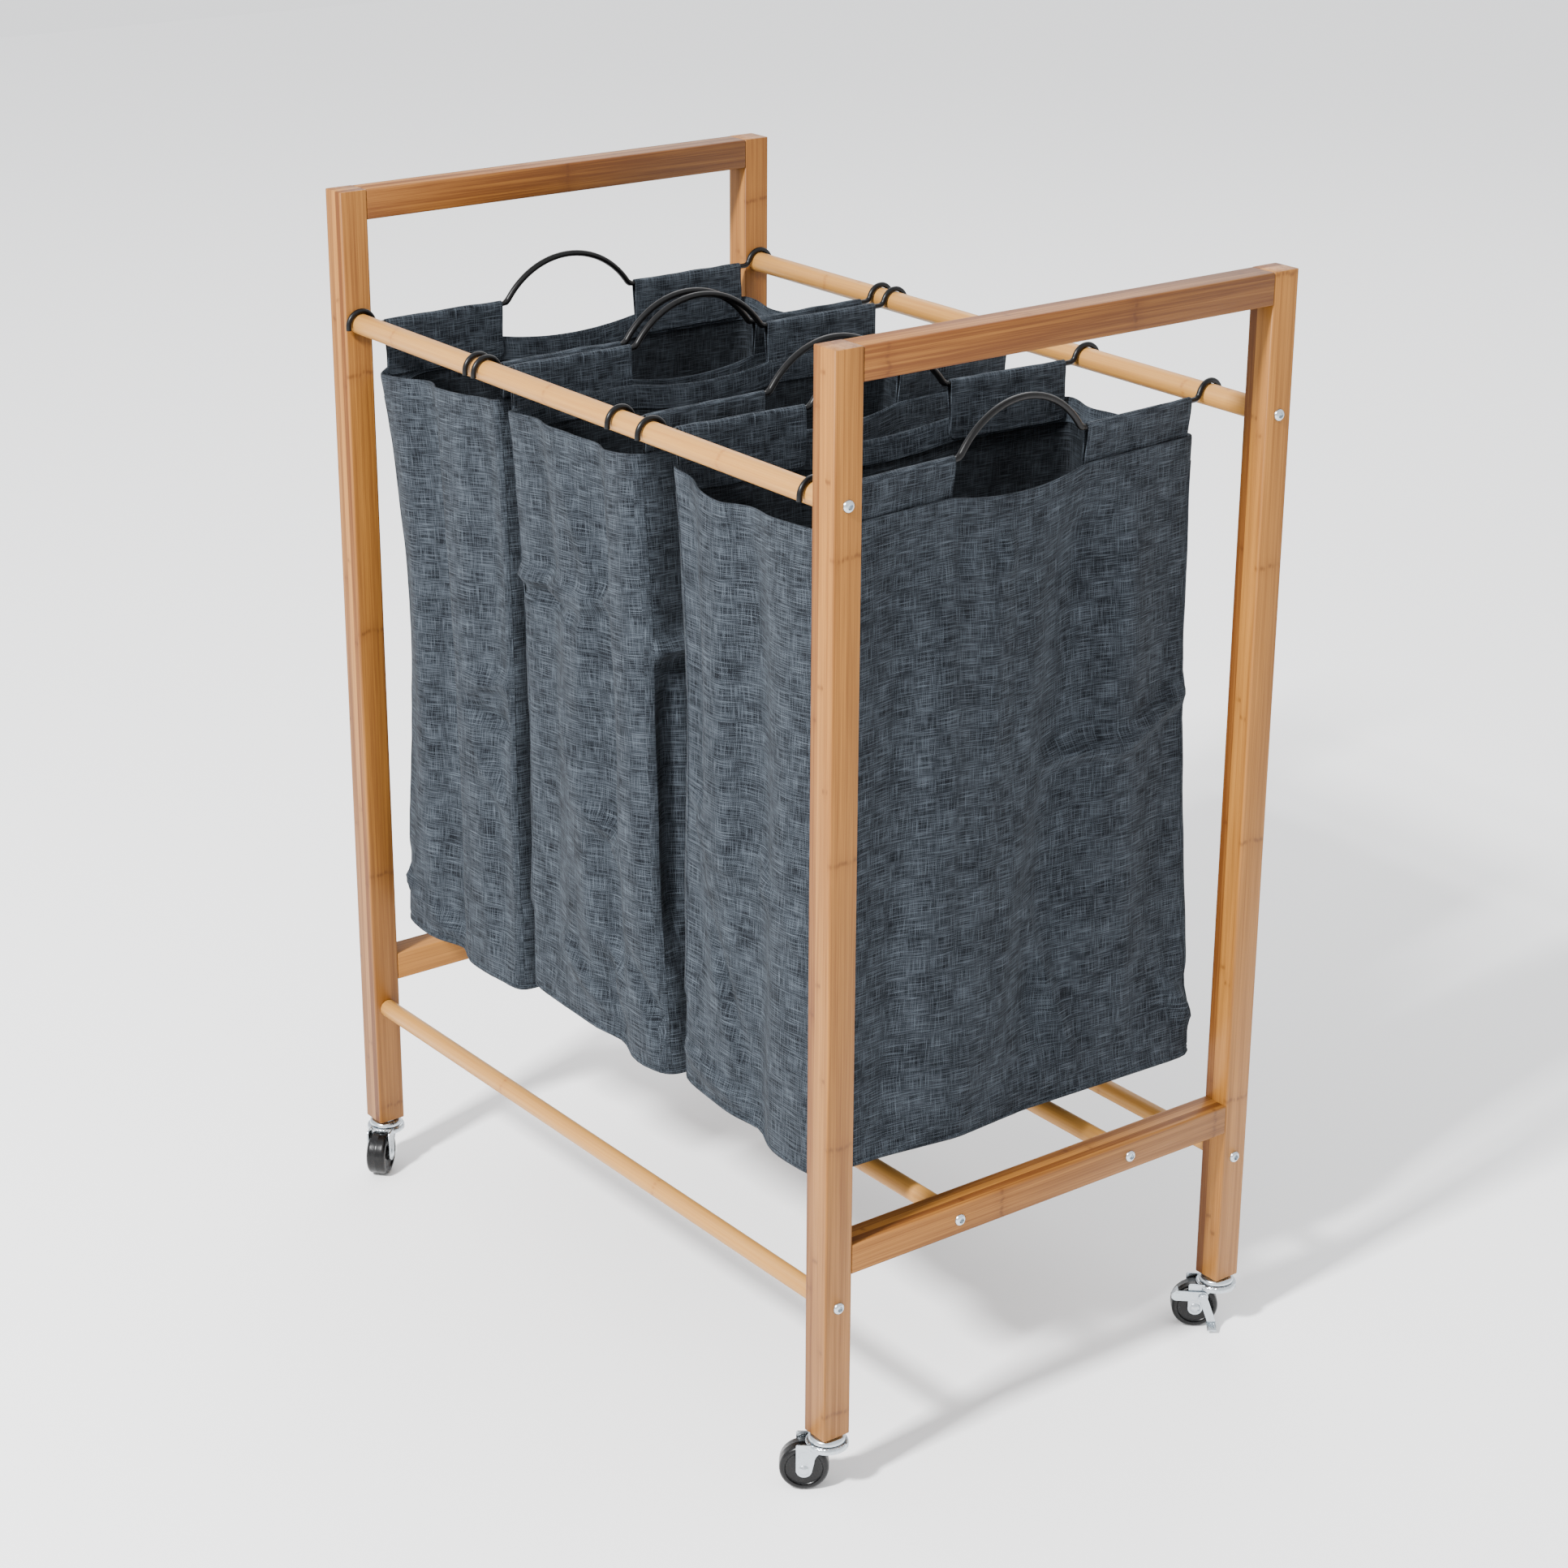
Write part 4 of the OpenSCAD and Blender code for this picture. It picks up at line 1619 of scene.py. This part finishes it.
    def kept_clear(self, rows: list[list[Vector]], cut: list[list[Vector]]) -> list[list[Vector]]:
        """Keep the settled wall near its cut shape and clear of its neighbours and the dowels.

        Args:
            rows: The wall as it hangs.
            cut: The wall as cut.

        Returns:
            The wall with no point out of its own space.
        """
        clear: list[list[Vector]] = []
        for ring, first in zip(rows, cut):
            fresh = []
            for spot, start in zip(ring, first):
                move = spot - start
                if move.length > SETTLE_LIMIT:
                    move = move.normalized() * SETTLE_LIMIT
                fresh.append(self.inside(start + move))
            clear.append(fresh)
        return clear

    def inside(self, spot: Vector) -> Vector:
        """Move a point back into the bag's own space, easing near its limits.

        Args:
            spot: The point.

        Returns:
            The moved point.
        """
        low, high = self.walls
        limits = ((low, high), (-self.depth_limit, self.depth_limit))
        moved = spot.copy()
        for axis, (least, most) in enumerate(limits):
            ease = self.ease
            if moved[axis] < least + ease:
                moved[axis] = least + ease - ease * math.tanh((least + ease - moved[axis]) / ease)
            elif moved[axis] > most - ease:
                moved[axis] = most - ease + ease * math.tanh((moved[axis] - most + ease) / ease)
        return moved

    def press(self, shell: bpy.types.Object, across: Sequence[float], top: float) -> None:
        """Press folds and creases into the fine cloth, found by its flat coordinates.

        Args:
            shell: The cloth, before it gets its thickness.
            across: Flat coordinate of each column.
            top: Flat height of the hem.
        """
        mesh = shell.data
        columns = [*self.columns(), (3, 1.0)]
        layer = mesh.uv_layers["Cloth"].data
        flat = {loop.vertex_index: layer[loop.index].uv.copy() for loop in mesh.loops}
        normals = {number: mesh.vertices[number].normal.copy() for number in flat}
        for number, (u, v) in flat.items():
            height = v / top
            if u > across[-1] + 0.001 or not 0 <= height <= 1.02:
                continue
            here = min(max(bisect.bisect_right(across, u) - 1, 0), len(across) - 2)
            panel, start = columns[here]
            next_panel, next_share = columns[here + 1]
            end = next_share if next_panel == panel and next_share else 1.0
            share = start + (end - start) * (u - across[here]) / (across[here + 1] - across[here])
            height = min(1.0, height)
            fade = min(1.0, (0.955 - height) / 0.05, height / 0.03)
            wave = noise.noise(Vector((u * 42, v * 17, self.seed))) + 0.6 * noise.noise(
                Vector((u * 16, v * 46, self.seed + 4))
            )
            lift = self.pressed(panel, share, height, self.span, sharp=True) + self.rumple * wave
            spot = mesh.vertices[number].co + normals[number] * (lift * max(0.0, fade))
            mesh.vertices[number].co = self.inside(spot)

    def build_shell(
        self, outside: bpy.types.Material, inside: bpy.types.Material
    ) -> bpy.types.Object:
        """Make the bag's cloth: wall, base, hem and sleeves, as one sheet with thickness.

        Args:
            outside: Cloth of the right side.
            inside: Cloth of the wrong side, darkened as painted shade.

        Returns:
            The finished mesh.
        """
        cut = self.wall()
        rows = self.kept_clear(self.hang(cut), cut)
        sheet = ClothMesh(f"bag_{self.name}_cloth")
        columns = self.columns()
        count = len(columns)
        flat_u = [0.0]
        mid = rows[len(rows) // 2]
        for c in range(count):
            flat_u.append(flat_u[-1] + (mid[(c + 1) % count] - mid[c]).length)
        heights = [0.0]
        for below, above in zip(rows, rows[1:]):
            heights.append(heights[-1] + (above[5] - below[5]).length)
        wall_rows = [sheet.row(ring) for ring in rows]
        turned_in = self.hem_rows(rows)
        hem_numbers = [sheet.row(ring) for ring in turned_in]
        hem_heights = [heights[-1] + 0.0015 + 0.0065 * k for k in range(len(turned_in))]
        sheet.bands([*wall_rows, *hem_numbers], flat_u, [*heights, *hem_heights], closed=True)
        self.add_base(sheet, rows[0], wall_rows[0])
        for side in (0, 1):
            for end in (-1, 1):
                self.add_sleeve(sheet, side, end)
        shell = sheet.piece()
        dress(shell, outside, inside)
        self.widths = [flat_u[-1], heights[-1]]
        self.hung = rows
        modify(shell, "SUBSURF", levels=1, render_levels=1)
        self.press(shell, flat_u, heights[-1])
        modify(
            shell,
            "SOLIDIFY",
            thickness=self.cloth,
            offset=-1.0,
            material_offset=1,
            material_offset_rim=0,
            use_even_offset=False,
        )
        return smooth(shell, 60)

    def stitch_paths(self) -> list[list[Vector]]:
        """Lines of stitching: hem, base and both sides of each corner seam.

        Returns:
            Points of each line, a little outside the cloth.
        """
        rows = self.hung
        middle_x = sum(p.x for p in rows[20]) / len(rows[20])
        paths = []
        for row, drop in ((self.rows - 2, 0.0), (1, -0.003)):
            ring = [off_cloth(p, middle_x) + Vector((0, 0, drop)) for p in rows[row]]
            paths.append(ring + ring[:1])
        for start in self.corner_columns():
            for step in (-1, 1):
                line = []
                for ring in rows[1 : self.rows - 1]:
                    spot, beside = ring[start], ring[(start + step) % len(ring)]
                    near = spot + (beside - spot).normalized() * self.seam_half
                    line.append(off_cloth(near, middle_x))
                paths.append(line)
        return paths

    def corner_columns(self) -> list[int]:
        """Columns that stand at the four corners.

        Returns:
            Column numbers.
        """
        side = len(self.side_steps())
        return [0, self.front_columns, self.front_columns + side, 2 * self.front_columns + side]

    def hem_rows(self, rows: list[list[Vector]]) -> list[list[Vector]]:
        """Turn the hem in over the sleeves.

        Args:
            rows: The wall.

        Returns:
            Rows from the fold to the hem's raw edge inside the bag.
        """
        top = rows[-1]
        count = len(top)
        inward = []
        for c in range(count):
            along = top[(c + 1) % count] - top[(c - 1) % count]
            inward.append(Vector((-along.y, along.x, 0)).normalized())
        steps = [
            (0.35, 0.0011), (0.75, 0.0009), (1.0, -0.0008),
            (1.0, -0.007), (0.95, -0.0135), (0.9, -self.hem_turn),
        ]
        made = []
        pitch = (self.hem_z - BASE_Z) / self.rows
        for share, drop in steps:
            below = max(0.0, -drop) / pitch
            row = min(int(below), 3)
            line = []
            for c in range(count):
                spot = rows[-1 - row][c].lerp(rows[-2 - row][c], below - row)
                spot = spot + inward[c] * self.hem_gap * share
                spot.z += max(0.0, drop)
                line.append(spot)
            made.append(line)
        return made

    def add_base(self, sheet: "ClothMesh", ring: list[Vector], numbers: list[int]) -> None:
        """Close the bag with its base, which sags a little.

        Args:
            sheet: Mesh being made.
            ring: The wall's lowest ring.
            numbers: Its point numbers.
        """
        steps = 9
        middle_x = sum(p.x for p in ring) / len(ring)
        earlier = numbers
        flat = [list(ring)]
        for step in range(1, steps + 1):
            share = step / steps
            fresh = []
            for spot in ring:
                core = Vector((middle_x, min(max(spot.y, -0.105), 0.105), spot.z))
                here = spot.lerp(core, share if step > 1 else share * 0.45)
                sag = 0.0055 * math.sin(math.pi / 2 * share) ** 0.5
                wave = noise.noise(Vector((here.x * 16, here.y * 16, self.seed)))
                here.z -= sag + 0.002 * wave * share
                fresh.append(here)
            later = sheet.row(fresh)
            flat.append(fresh)
            for c in range(len(ring)):
                d = (c + 1) % len(ring)
                corners = [earlier[d], earlier[c], later[c], later[d]]
                spots = [flat[-2][d], flat[-2][c], flat[-1][c], flat[-1][d]]
                sheet.face(corners, [(p.x + self.apart, p.y) for p in spots])
            earlier = later

    def add_sleeve(self, sheet: "ClothMesh", side: int, end: int) -> None:
        """Add one sleeve, a strip of cloth folded over the hanger wire.

        Args:
            sheet: Mesh being made.
            side: 0 for the left panel, 1 for the right.
            end: -1 for the front sleeve, 1 for the back one.
        """
        steps = 14
        out = 1 if side else -1
        radius = self.loop_radius
        centre = self.wire_z + 0.0002
        legs = [self.sleeve_low, 0.776, 0.785, 0.794, 0.803, 0.810]
        path: list[Ring] = [
            (0.0012 + (radius - 0.0012) * (k / 5) ** 1.5, z) for k, z in enumerate(legs)
        ]
        rising = (0.25, 0.8, 1.3)
        turn = (*rising, math.pi / 2, *(math.pi - a for a in reversed(rising)))
        path += [(radius * math.cos(a), centre + radius * math.sin(a)) for a in turn]
        path += [(-off, z) for off, z in reversed(path[: len(legs)])]
        lengths = [0.0]
        for a, b in zip(path, path[1:]):
            lengths.append(lengths[-1] + math.hypot(b[0] - a[0], b[1] - a[1]))
        strips = []
        for k in range(steps + 1):
            y = self.notch + 0.0005 + (self.sleeve_end - self.notch - 0.001) * k / steps
            y *= end
            strip = []
            for off, z in path:
                body = clamped((0.812 - z) / 0.035) * clamped((z - 0.776) / 0.012)
                own = self.seed + side * 3 + end
                ripple = noise.noise(Vector((y * 34 + z * 20 * end, z * 26, own)))
                pucker = math.sin((y * end - self.notch) * 130 + (z - 0.78) * 90 + self.seed)
                shift = body * (0.0030 * ripple + 0.0011 * pucker)
                over_wire = abs(off) < radius * 0.9
                sag = 0.0008 * noise.noise(Vector((y * 60, 4.0, self.seed))) if over_wire else 0
                tuck = 0.0016 * clamped((0.805 - z) / 0.02)
                x = self.hook_line(side, y) + out * (off + shift - tuck)
                strip.append(Vector((x, y, z + sag)))
            strips.append(sheet.row(strip))
        pitch = (self.sleeve_end - self.notch) / steps
        start = self.apart + side + 0.5 * end
        for k in range(steps):
            u, next_u = start + k * pitch, start + (k + 1) * pitch
            for j in range(len(path) - 1):
                corners = [strips[k][j], strips[k + 1][j], strips[k + 1][j + 1], strips[k][j + 1]]
                v, next_v = lengths[j], lengths[j + 1]
                spots = [(u, v), (next_u, v), (next_u, next_v), (u, next_v)]
                if out * end < 0:
                    corners.reverse()
                    spots.reverse()
                sheet.face(corners, spots)


@dataclass
class Stitching:
    """Seams and rows of thread on a finished bag, laid on its surface."""

    shell: bpy.types.Object
    pitch: float = 0.0042
    length: float = 0.0031
    thread: float = 0.00034
    ribbon: tuple[Ring, ...] = (
        (-0.0052, -0.0004), (-0.0047, 0.00045), (0.0, 0.0006), (0.0047, 0.00045), (0.0052, -0.0004),
    )
    edge: tuple[Ring, ...] = (
        (0.02, -0.0004), (0.06, 0.0009), (0.22, 0.0013), (0.38, 0.0009), (0.42, -0.0004),
    )

    def stitch(self) -> bpy.types.Object:
        """Model one stitch, thick in its middle and sunk at its ends.

        Returns:
            The stitch, along X.
        """
        lay_aside()
        bpy.ops.mesh.primitive_uv_sphere_add(
            segments=6, ring_count=4, radius=1, rotation=(0, math.pi / 2, 0)
        )
        piece = bpy.context.object
        settle(piece)
        bpy.ops.object.mode_set(mode="EDIT")
        pick("VERT", lambda v: 0.3 < abs(v.co.x) < 0.9)
        bpy.ops.transform.resize(value=(1.12, 1.22, 1.22))
        bpy.ops.mesh.select_all(action="SELECT")
        bpy.ops.transform.resize(value=(self.length / 2, self.thread, self.thread))
        bpy.ops.object.mode_set(mode="OBJECT")
        return piece

    def surface(self, spot: Vector) -> tuple[Vector, Vector]:
        """Nearest place on the cloth.

        Args:
            spot: A point close to it.

        Returns:
            The place and its outward direction.
        """
        _, near, normal, _ = self.shell.closest_point_on_mesh(spot)
        return near, normal

    def rows(self, paths: Sequence[Sequence[Vector]], name: str) -> bpy.types.Object:
        """Sew stitches along lines.

        Args:
            paths: Points of each line.
            name: Name of the piece.

        Returns:
            All stitches as one piece.
        """
        one = self.stitch()
        shape = [vert.co.copy() for vert in one.data.vertices]
        sides = [list(face.vertices) for face in one.data.polygons]
        bpy.data.objects.remove(one)
        points: list[Vector] = []
        faces: list[list[int]] = []
        for path in paths:
            carry = 0.0
            for first, last in zip(path, path[1:]):
                span = (last - first).length
                while carry < span:
                    near, out = self.surface(first.lerp(last, carry / span))
                    run = (last - first).normalized()
                    across = out.cross(run).normalized()
                    run = across.cross(out)
                    turn = Matrix((run, across, out)).transposed()
                    start = len(points)
                    points += [near + turn @ corner for corner in shape]
                    faces += [[start + n for n in side] for side in sides]
                    carry += self.pitch
                carry -= span
        return smooth(from_grid(name, points, faces), 80)

    def seams(self, bag: "Bag", name: str, *materials: bpy.types.Material) -> bpy.types.Object:
        """Lay the felled seams that run up the corners.

        Args:
            bag: The bag with its hung rows.
            name: Name of the piece.
            *materials: Outside and inside cloth.

        Returns:
            The seams as one piece.
        """
        sheet = ClothMesh(name)
        base_x = sum(bag.base[n][0] for n in range(4)) / 4
        for start in bag.corner_columns():
            strips = []
            heights = [0.0]
            for ring in bag.hung[1 : bag.rows - 1]:
                spot = ring[start]
                strip = []
                for across, stand in self.ribbon:
                    beside = ring[(start + (1 if across > 0 else -1)) % len(ring)]
                    aim = spot + (beside - spot).normalized() * abs(across)
                    near, out = self.surface(off_cloth(aim, base_x))
                    strip.append(near + out * stand)
                strips.append(sheet.row(strip))
                heights.append(heights[-1] + 0.01)
            flat_across = [across for across, _ in self.ribbon]
            sheet.bands(strips, flat_across, heights[:-1], closed=False)
        ring, above = bag.hung[0], bag.hung[1]
        middle_x = sum(p.x for p in ring) / len(ring)
        rows = []
        for share, stand in self.edge:
            line = []
            for low, high in zip(ring, above):
                aim = low.lerp(high, share)
                near, out = self.surface(off_cloth(aim, middle_x))
                line.append(near + out * stand)
            rows.append(sheet.row(line))
        pitch = [0.0095 * k for k in range(len(ring) + 1)]
        sheet.bands(rows, pitch, [0.002 * k for k in range(len(rows))], closed=True)
        piece = sheet.piece()
        dress(piece, *materials)
        modify(
            piece,
            "SOLIDIFY",
            thickness=0.0004,
            offset=-1.0,
            material_offset=1,
            material_offset_rim=0,
        )
        return smooth(piece, 60)


class ClothMesh:
    """Points, faces and flat coordinates of one cloth piece in the making."""

    def __init__(self, name: str) -> None:
        """Start an empty piece.

        Args:
            name: Name of the piece.
        """
        self.name = name
        self.points: list[Vector] = []
        self.faces: list[list[int]] = []
        self.flats: list[list[Ring]] = []

    def row(self, spots: Sequence[Vector]) -> list[int]:
        """Add a row of points.

        Args:
            spots: Their places.

        Returns:
            Their numbers.
        """
        start = len(self.points)
        self.points.extend(spots)
        return list(range(start, start + len(spots)))

    def face(self, corners: Sequence[int], flat: Sequence[Ring]) -> None:
        """Add one face with its place on the flat cloth.

        Args:
            corners: Point numbers.
            flat: Flat coordinates of each corner.
        """
        self.faces.append(list(corners))
        self.flats.append(list(flat))

    def bands(
        self,
        rows: Sequence[Sequence[int]],
        across: Sequence[float],
        up: Sequence[float],
        closed: bool,
    ) -> None:
        """Join rows of points with faces.

        Args:
            rows: Point numbers of each row.
            across: Flat coordinate of each column, one more than the columns if closed.
            up: Flat coordinate of each row.
            closed: True for a ring.
        """
        count = len(rows[0])
        for r in range(len(rows) - 1):
            for c in range(count if closed else count - 1):
                d = (c + 1) % count
                corners = [rows[r][c], rows[r][d], rows[r + 1][d], rows[r + 1][c]]
                u, v = (across[c], across[c + 1]), (up[r], up[r + 1])
                self.face(corners, [(u[0], v[0]), (u[1], v[0]), (u[1], v[1]), (u[0], v[1])])

    def piece(self) -> bpy.types.Object:
        """Make the mesh.

        Returns:
            The new object, with its flat coordinates in the UV map Cloth.
        """
        piece = from_grid(self.name, self.points, self.faces)
        layer = piece.data.uv_layers.new(name="Cloth")
        flat = [value for face in self.flats for corner in face for value in corner]
        layer.data.foreach_set("uv", flat)
        take(piece)
        bpy.ops.object.mode_set(mode="EDIT")
        bpy.ops.mesh.select_all(action="SELECT")
        bpy.ops.mesh.remove_doubles(threshold=2e-5)
        bpy.ops.object.mode_set(mode="OBJECT")
        return piece


BAGS = (
    Bag(
        name="left",
        hooks=(-0.325, -0.137, -0.325, -0.144),
        base=(
            (-0.316, -0.199, 0.260), (-0.119, -0.200, 0.256),
            (-0.121, 0.202, 0.255), (-0.318, 0.202, 0.255),
        ),
        front_hem=((0.0, 0.7700), (0.2, 0.7745), (0.45, 0.7775), (0.8, 0.7815), (1.0, 0.7855)),
        folds=(
            Fold(0, 0.64, 0.16, 0.010, low=-0.3, high=1.3, lean=-0.08),
            Fold(0, 0.42, 0.16, -0.010, low=-0.3, high=1.3, lean=-0.06),
            Fold(0, 0.20, 0.14, 0.005, low=-0.1, high=1.3, lean=-0.05),
            Fold(0, 0.88, 0.12, -0.005, low=0.0, high=1.1),
            Fold(1, 0.30, 0.18, -0.004),
            Fold(2, 0.40, 0.25, 0.007, low=-0.3, high=1.3),
            Fold(2, 0.75, 0.15, -0.007, low=-0.3, high=1.3),
            Fold(3, 0.70, 0.20, -0.007, lean=0.1),
            Fold(3, 0.35, 0.14, 0.005, lean=-0.1),
        ),
        creases=(
            Crease(0, (0.00, 0.090), (0.50, 0.010), 0.0050),
            Crease(0, (0.62, 0.515), (0.98, 0.525), 0.0045),
            Crease(0, (0.66, 0.475), (0.96, 0.440), -0.0040),
            Crease(0, (0.72, 0.40), (0.92, 0.30), 0.0035),
            Crease(3, (0.10, 0.55), (0.45, 0.46), 0.0045),
            Crease(2, (0.20, 0.60), (0.70, 0.52), 0.0040),
        ),
        walls=(-0.3275, -0.1185),
        pinch=(0.012, 0.004, 0.004, 0.010),
        seed=1.3,
    ),
    Bag(
        name="middle",
        hooks=(-0.124, 0.069, -0.124, 0.053),
        base=(
            (-0.113, -0.194, 0.268), (0.104, -0.197, 0.261),
            (0.100, 0.201, 0.257), (-0.115, 0.201, 0.258),
        ),
        front_hem=(
            (0.0, 0.7815), (0.25, 0.7830), (0.5, 0.7830),
            (0.72, 0.7800), (0.87, 0.7825), (1.0, 0.7860),
        ),
        folds=(
            Fold(0, 0.84, 0.13, 0.010, low=-0.3, high=1.3),
            Fold(0, 0.66, 0.14, -0.007, low=-0.1, high=1.2, lean=0.04),
            Fold(0, 0.46, 0.12, 0.006, low=0.05, high=1.3, lean=-0.18),
            Fold(0, 0.22, 0.15, -0.006, low=0.0, high=1.1, lean=0.06),
            Fold(1, 0.045, 0.035, -0.010, low=0.18, high=0.70),
            Fold(2, 0.55, 0.25, 0.008, low=-0.3, high=1.3),
            Fold(2, 0.25, 0.15, -0.007, low=-0.3, high=1.3, lean=0.1),
        ),
        creases=(
            Crease(0, (0.02, 0.730), (0.53, 0.735), 0.0050),
            Crease(0, (0.04, 0.705), (0.50, 0.705), -0.0040, 0.010),
            Crease(0, (0.53, 0.735), (0.88, 0.770), 0.0040),
            Crease(0, (0.40, 0.960), (0.57, 0.800), 0.0032),
            Crease(0, (0.57, 0.800), (0.49, 0.560), 0.0032),
            Crease(0, (0.45, 0.390), (0.85, 0.330), 0.0048),
            Crease(0, (0.30, 0.130), (0.56, 0.050), 0.0045),
            Crease(0, (0.60, 0.170), (0.90, 0.030), 0.0055),
            Crease(0, (0.80, 0.190), (1.00, 0.070), -0.0050),
            Crease(0, (0.36, 0.560), (0.45, 0.390), 0.0035),
            Crease(1, (0.0, 0.690), (0.16, 0.695), 0.0050),
            Crease(2, (0.30, 0.30), (0.80, 0.42), 0.0040),
        ),
        walls=(-0.1165, 0.1105),
        pinch=(0.004, 0.003, 0.004, 0.004),
        seed=5.1,
    ),
    Bag(
        name="right",
        hooks=(0.111, 0.313, 0.130, 0.277),
        base=(
            (0.118, -0.196, 0.269), (0.303, -0.199, 0.252),
            (0.312, 0.2025, 0.250), (0.122, 0.202, 0.256),
        ),
        front_hem=(
            (0.0, 0.7880), (0.12, 0.7835), (0.26, 0.7765),
            (0.36, 0.7750), (0.65, 0.7790), (1.0, 0.7825),
        ),
        folds=(
            Fold(0, 0.28, 0.13, 0.010, low=0.35, high=1.3),
            Fold(0, 0.12, 0.12, -0.006, low=0.1, high=1.3),
            Fold(0, 0.52, 0.16, -0.008, low=-0.3, high=1.3, lean=-0.06),
            Fold(0, 0.76, 0.16, 0.006, low=-0.3, high=1.3),
            Fold(1, 0.40, 0.18, 0.008, low=-0.3, high=0.95, lean=0.10),
            Fold(1, 0.62, 0.13, -0.010, low=0.05, high=1.0, lean=0.16),
            Fold(1, 0.82, 0.12, 0.005, low=0.0, high=0.9, lean=0.05),
            Fold(1, 0.18, 0.12, -0.006, low=0.0, high=1.0),
            Fold(2, 0.45, 0.25, 0.007, low=-0.3, high=1.3),
            Fold(2, 0.80, 0.14, -0.007, low=-0.3, high=1.3),
        ),
        creases=(
            Crease(0, (0.10, 0.484), (0.39, 0.415), 0.0045),
            Crease(0, (0.55, 0.447), (0.84, 0.368), 0.0050),
            Crease(0, (0.20, 0.330), (0.45, 0.120), -0.0040),
            Crease(0, (0.05, 0.060), (0.45, 0.030), 0.0040),
            Crease(1, (0.587, 0.563), (0.79, 0.550), 0.0060, 0.014),
            Crease(1, (0.79, 0.550), (0.995, 0.600), 0.0050, 0.014),
            Crease(1, (0.45, 0.975), (0.46, 0.890), 0.0035),
            Crease(1, (0.36, 0.965), (0.34, 0.900), -0.0030),
            Crease(1, (0.93, 0.130), (0.995, 0.060), 0.0045),
            Crease(1, (0.55, 0.330), (0.66, 0.060), 0.0040, 0.014),
        ),
        walls=(0.1155, 0.3275),
        pinch=(0.003, 0.002, 0.003, 0.003),
        seed=9.7,
    ),
)


def main() -> None:
    """Build the object's looks and report each piece."""
    logging.basicConfig(level=logging.INFO, format="%(message)s")
    Studio().build()
    TimberFrame().build()
    for corner in Corner:
        Caster(corner).build()
    cloth_out = BAG_CLOTH.material("bag_cloth")
    # The inside cloth is the outside cloth darkened as painted shade for the shadowed inside of the
    # bags.
    cloth_in = BAG_CLOTH.material("bag_inside_painted_shade", wrong_side_painted_shade=True)
    coating = COATED_WIRE.material("hanger_coating")
    thread = THREAD.material("sewing_thread")
    for bag in BAGS:
        left_front, right_front, left_back, right_back = bag.hooks
        hangers = [
            Hanger(bag.name, "left", left_front, left_back).build(coating),
            Hanger(bag.name, "right", right_front, right_back).build(coating),
        ]
        shell = bag.build_shell(cloth_out, cloth_in)
        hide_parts(f"bag_{bag.name}_fabric")
        sewing = Stitching(shell)
        seams = sewing.seams(bag, f"bag_{bag.name}_seams", cloth_out, cloth_in)
        stitches = sewing.rows(bag.stitch_paths(), f"bag_{bag.name}_stitches")
        dress(stitches, thread)
        for piece in (shell, seams, stitches):
            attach(piece, f"bag_{bag.name}")
        log.info("%s: %d faces, flat %s", shell.name, len(shell.data.polygons), bag.widths)


if __name__ == "__main__":
    main()
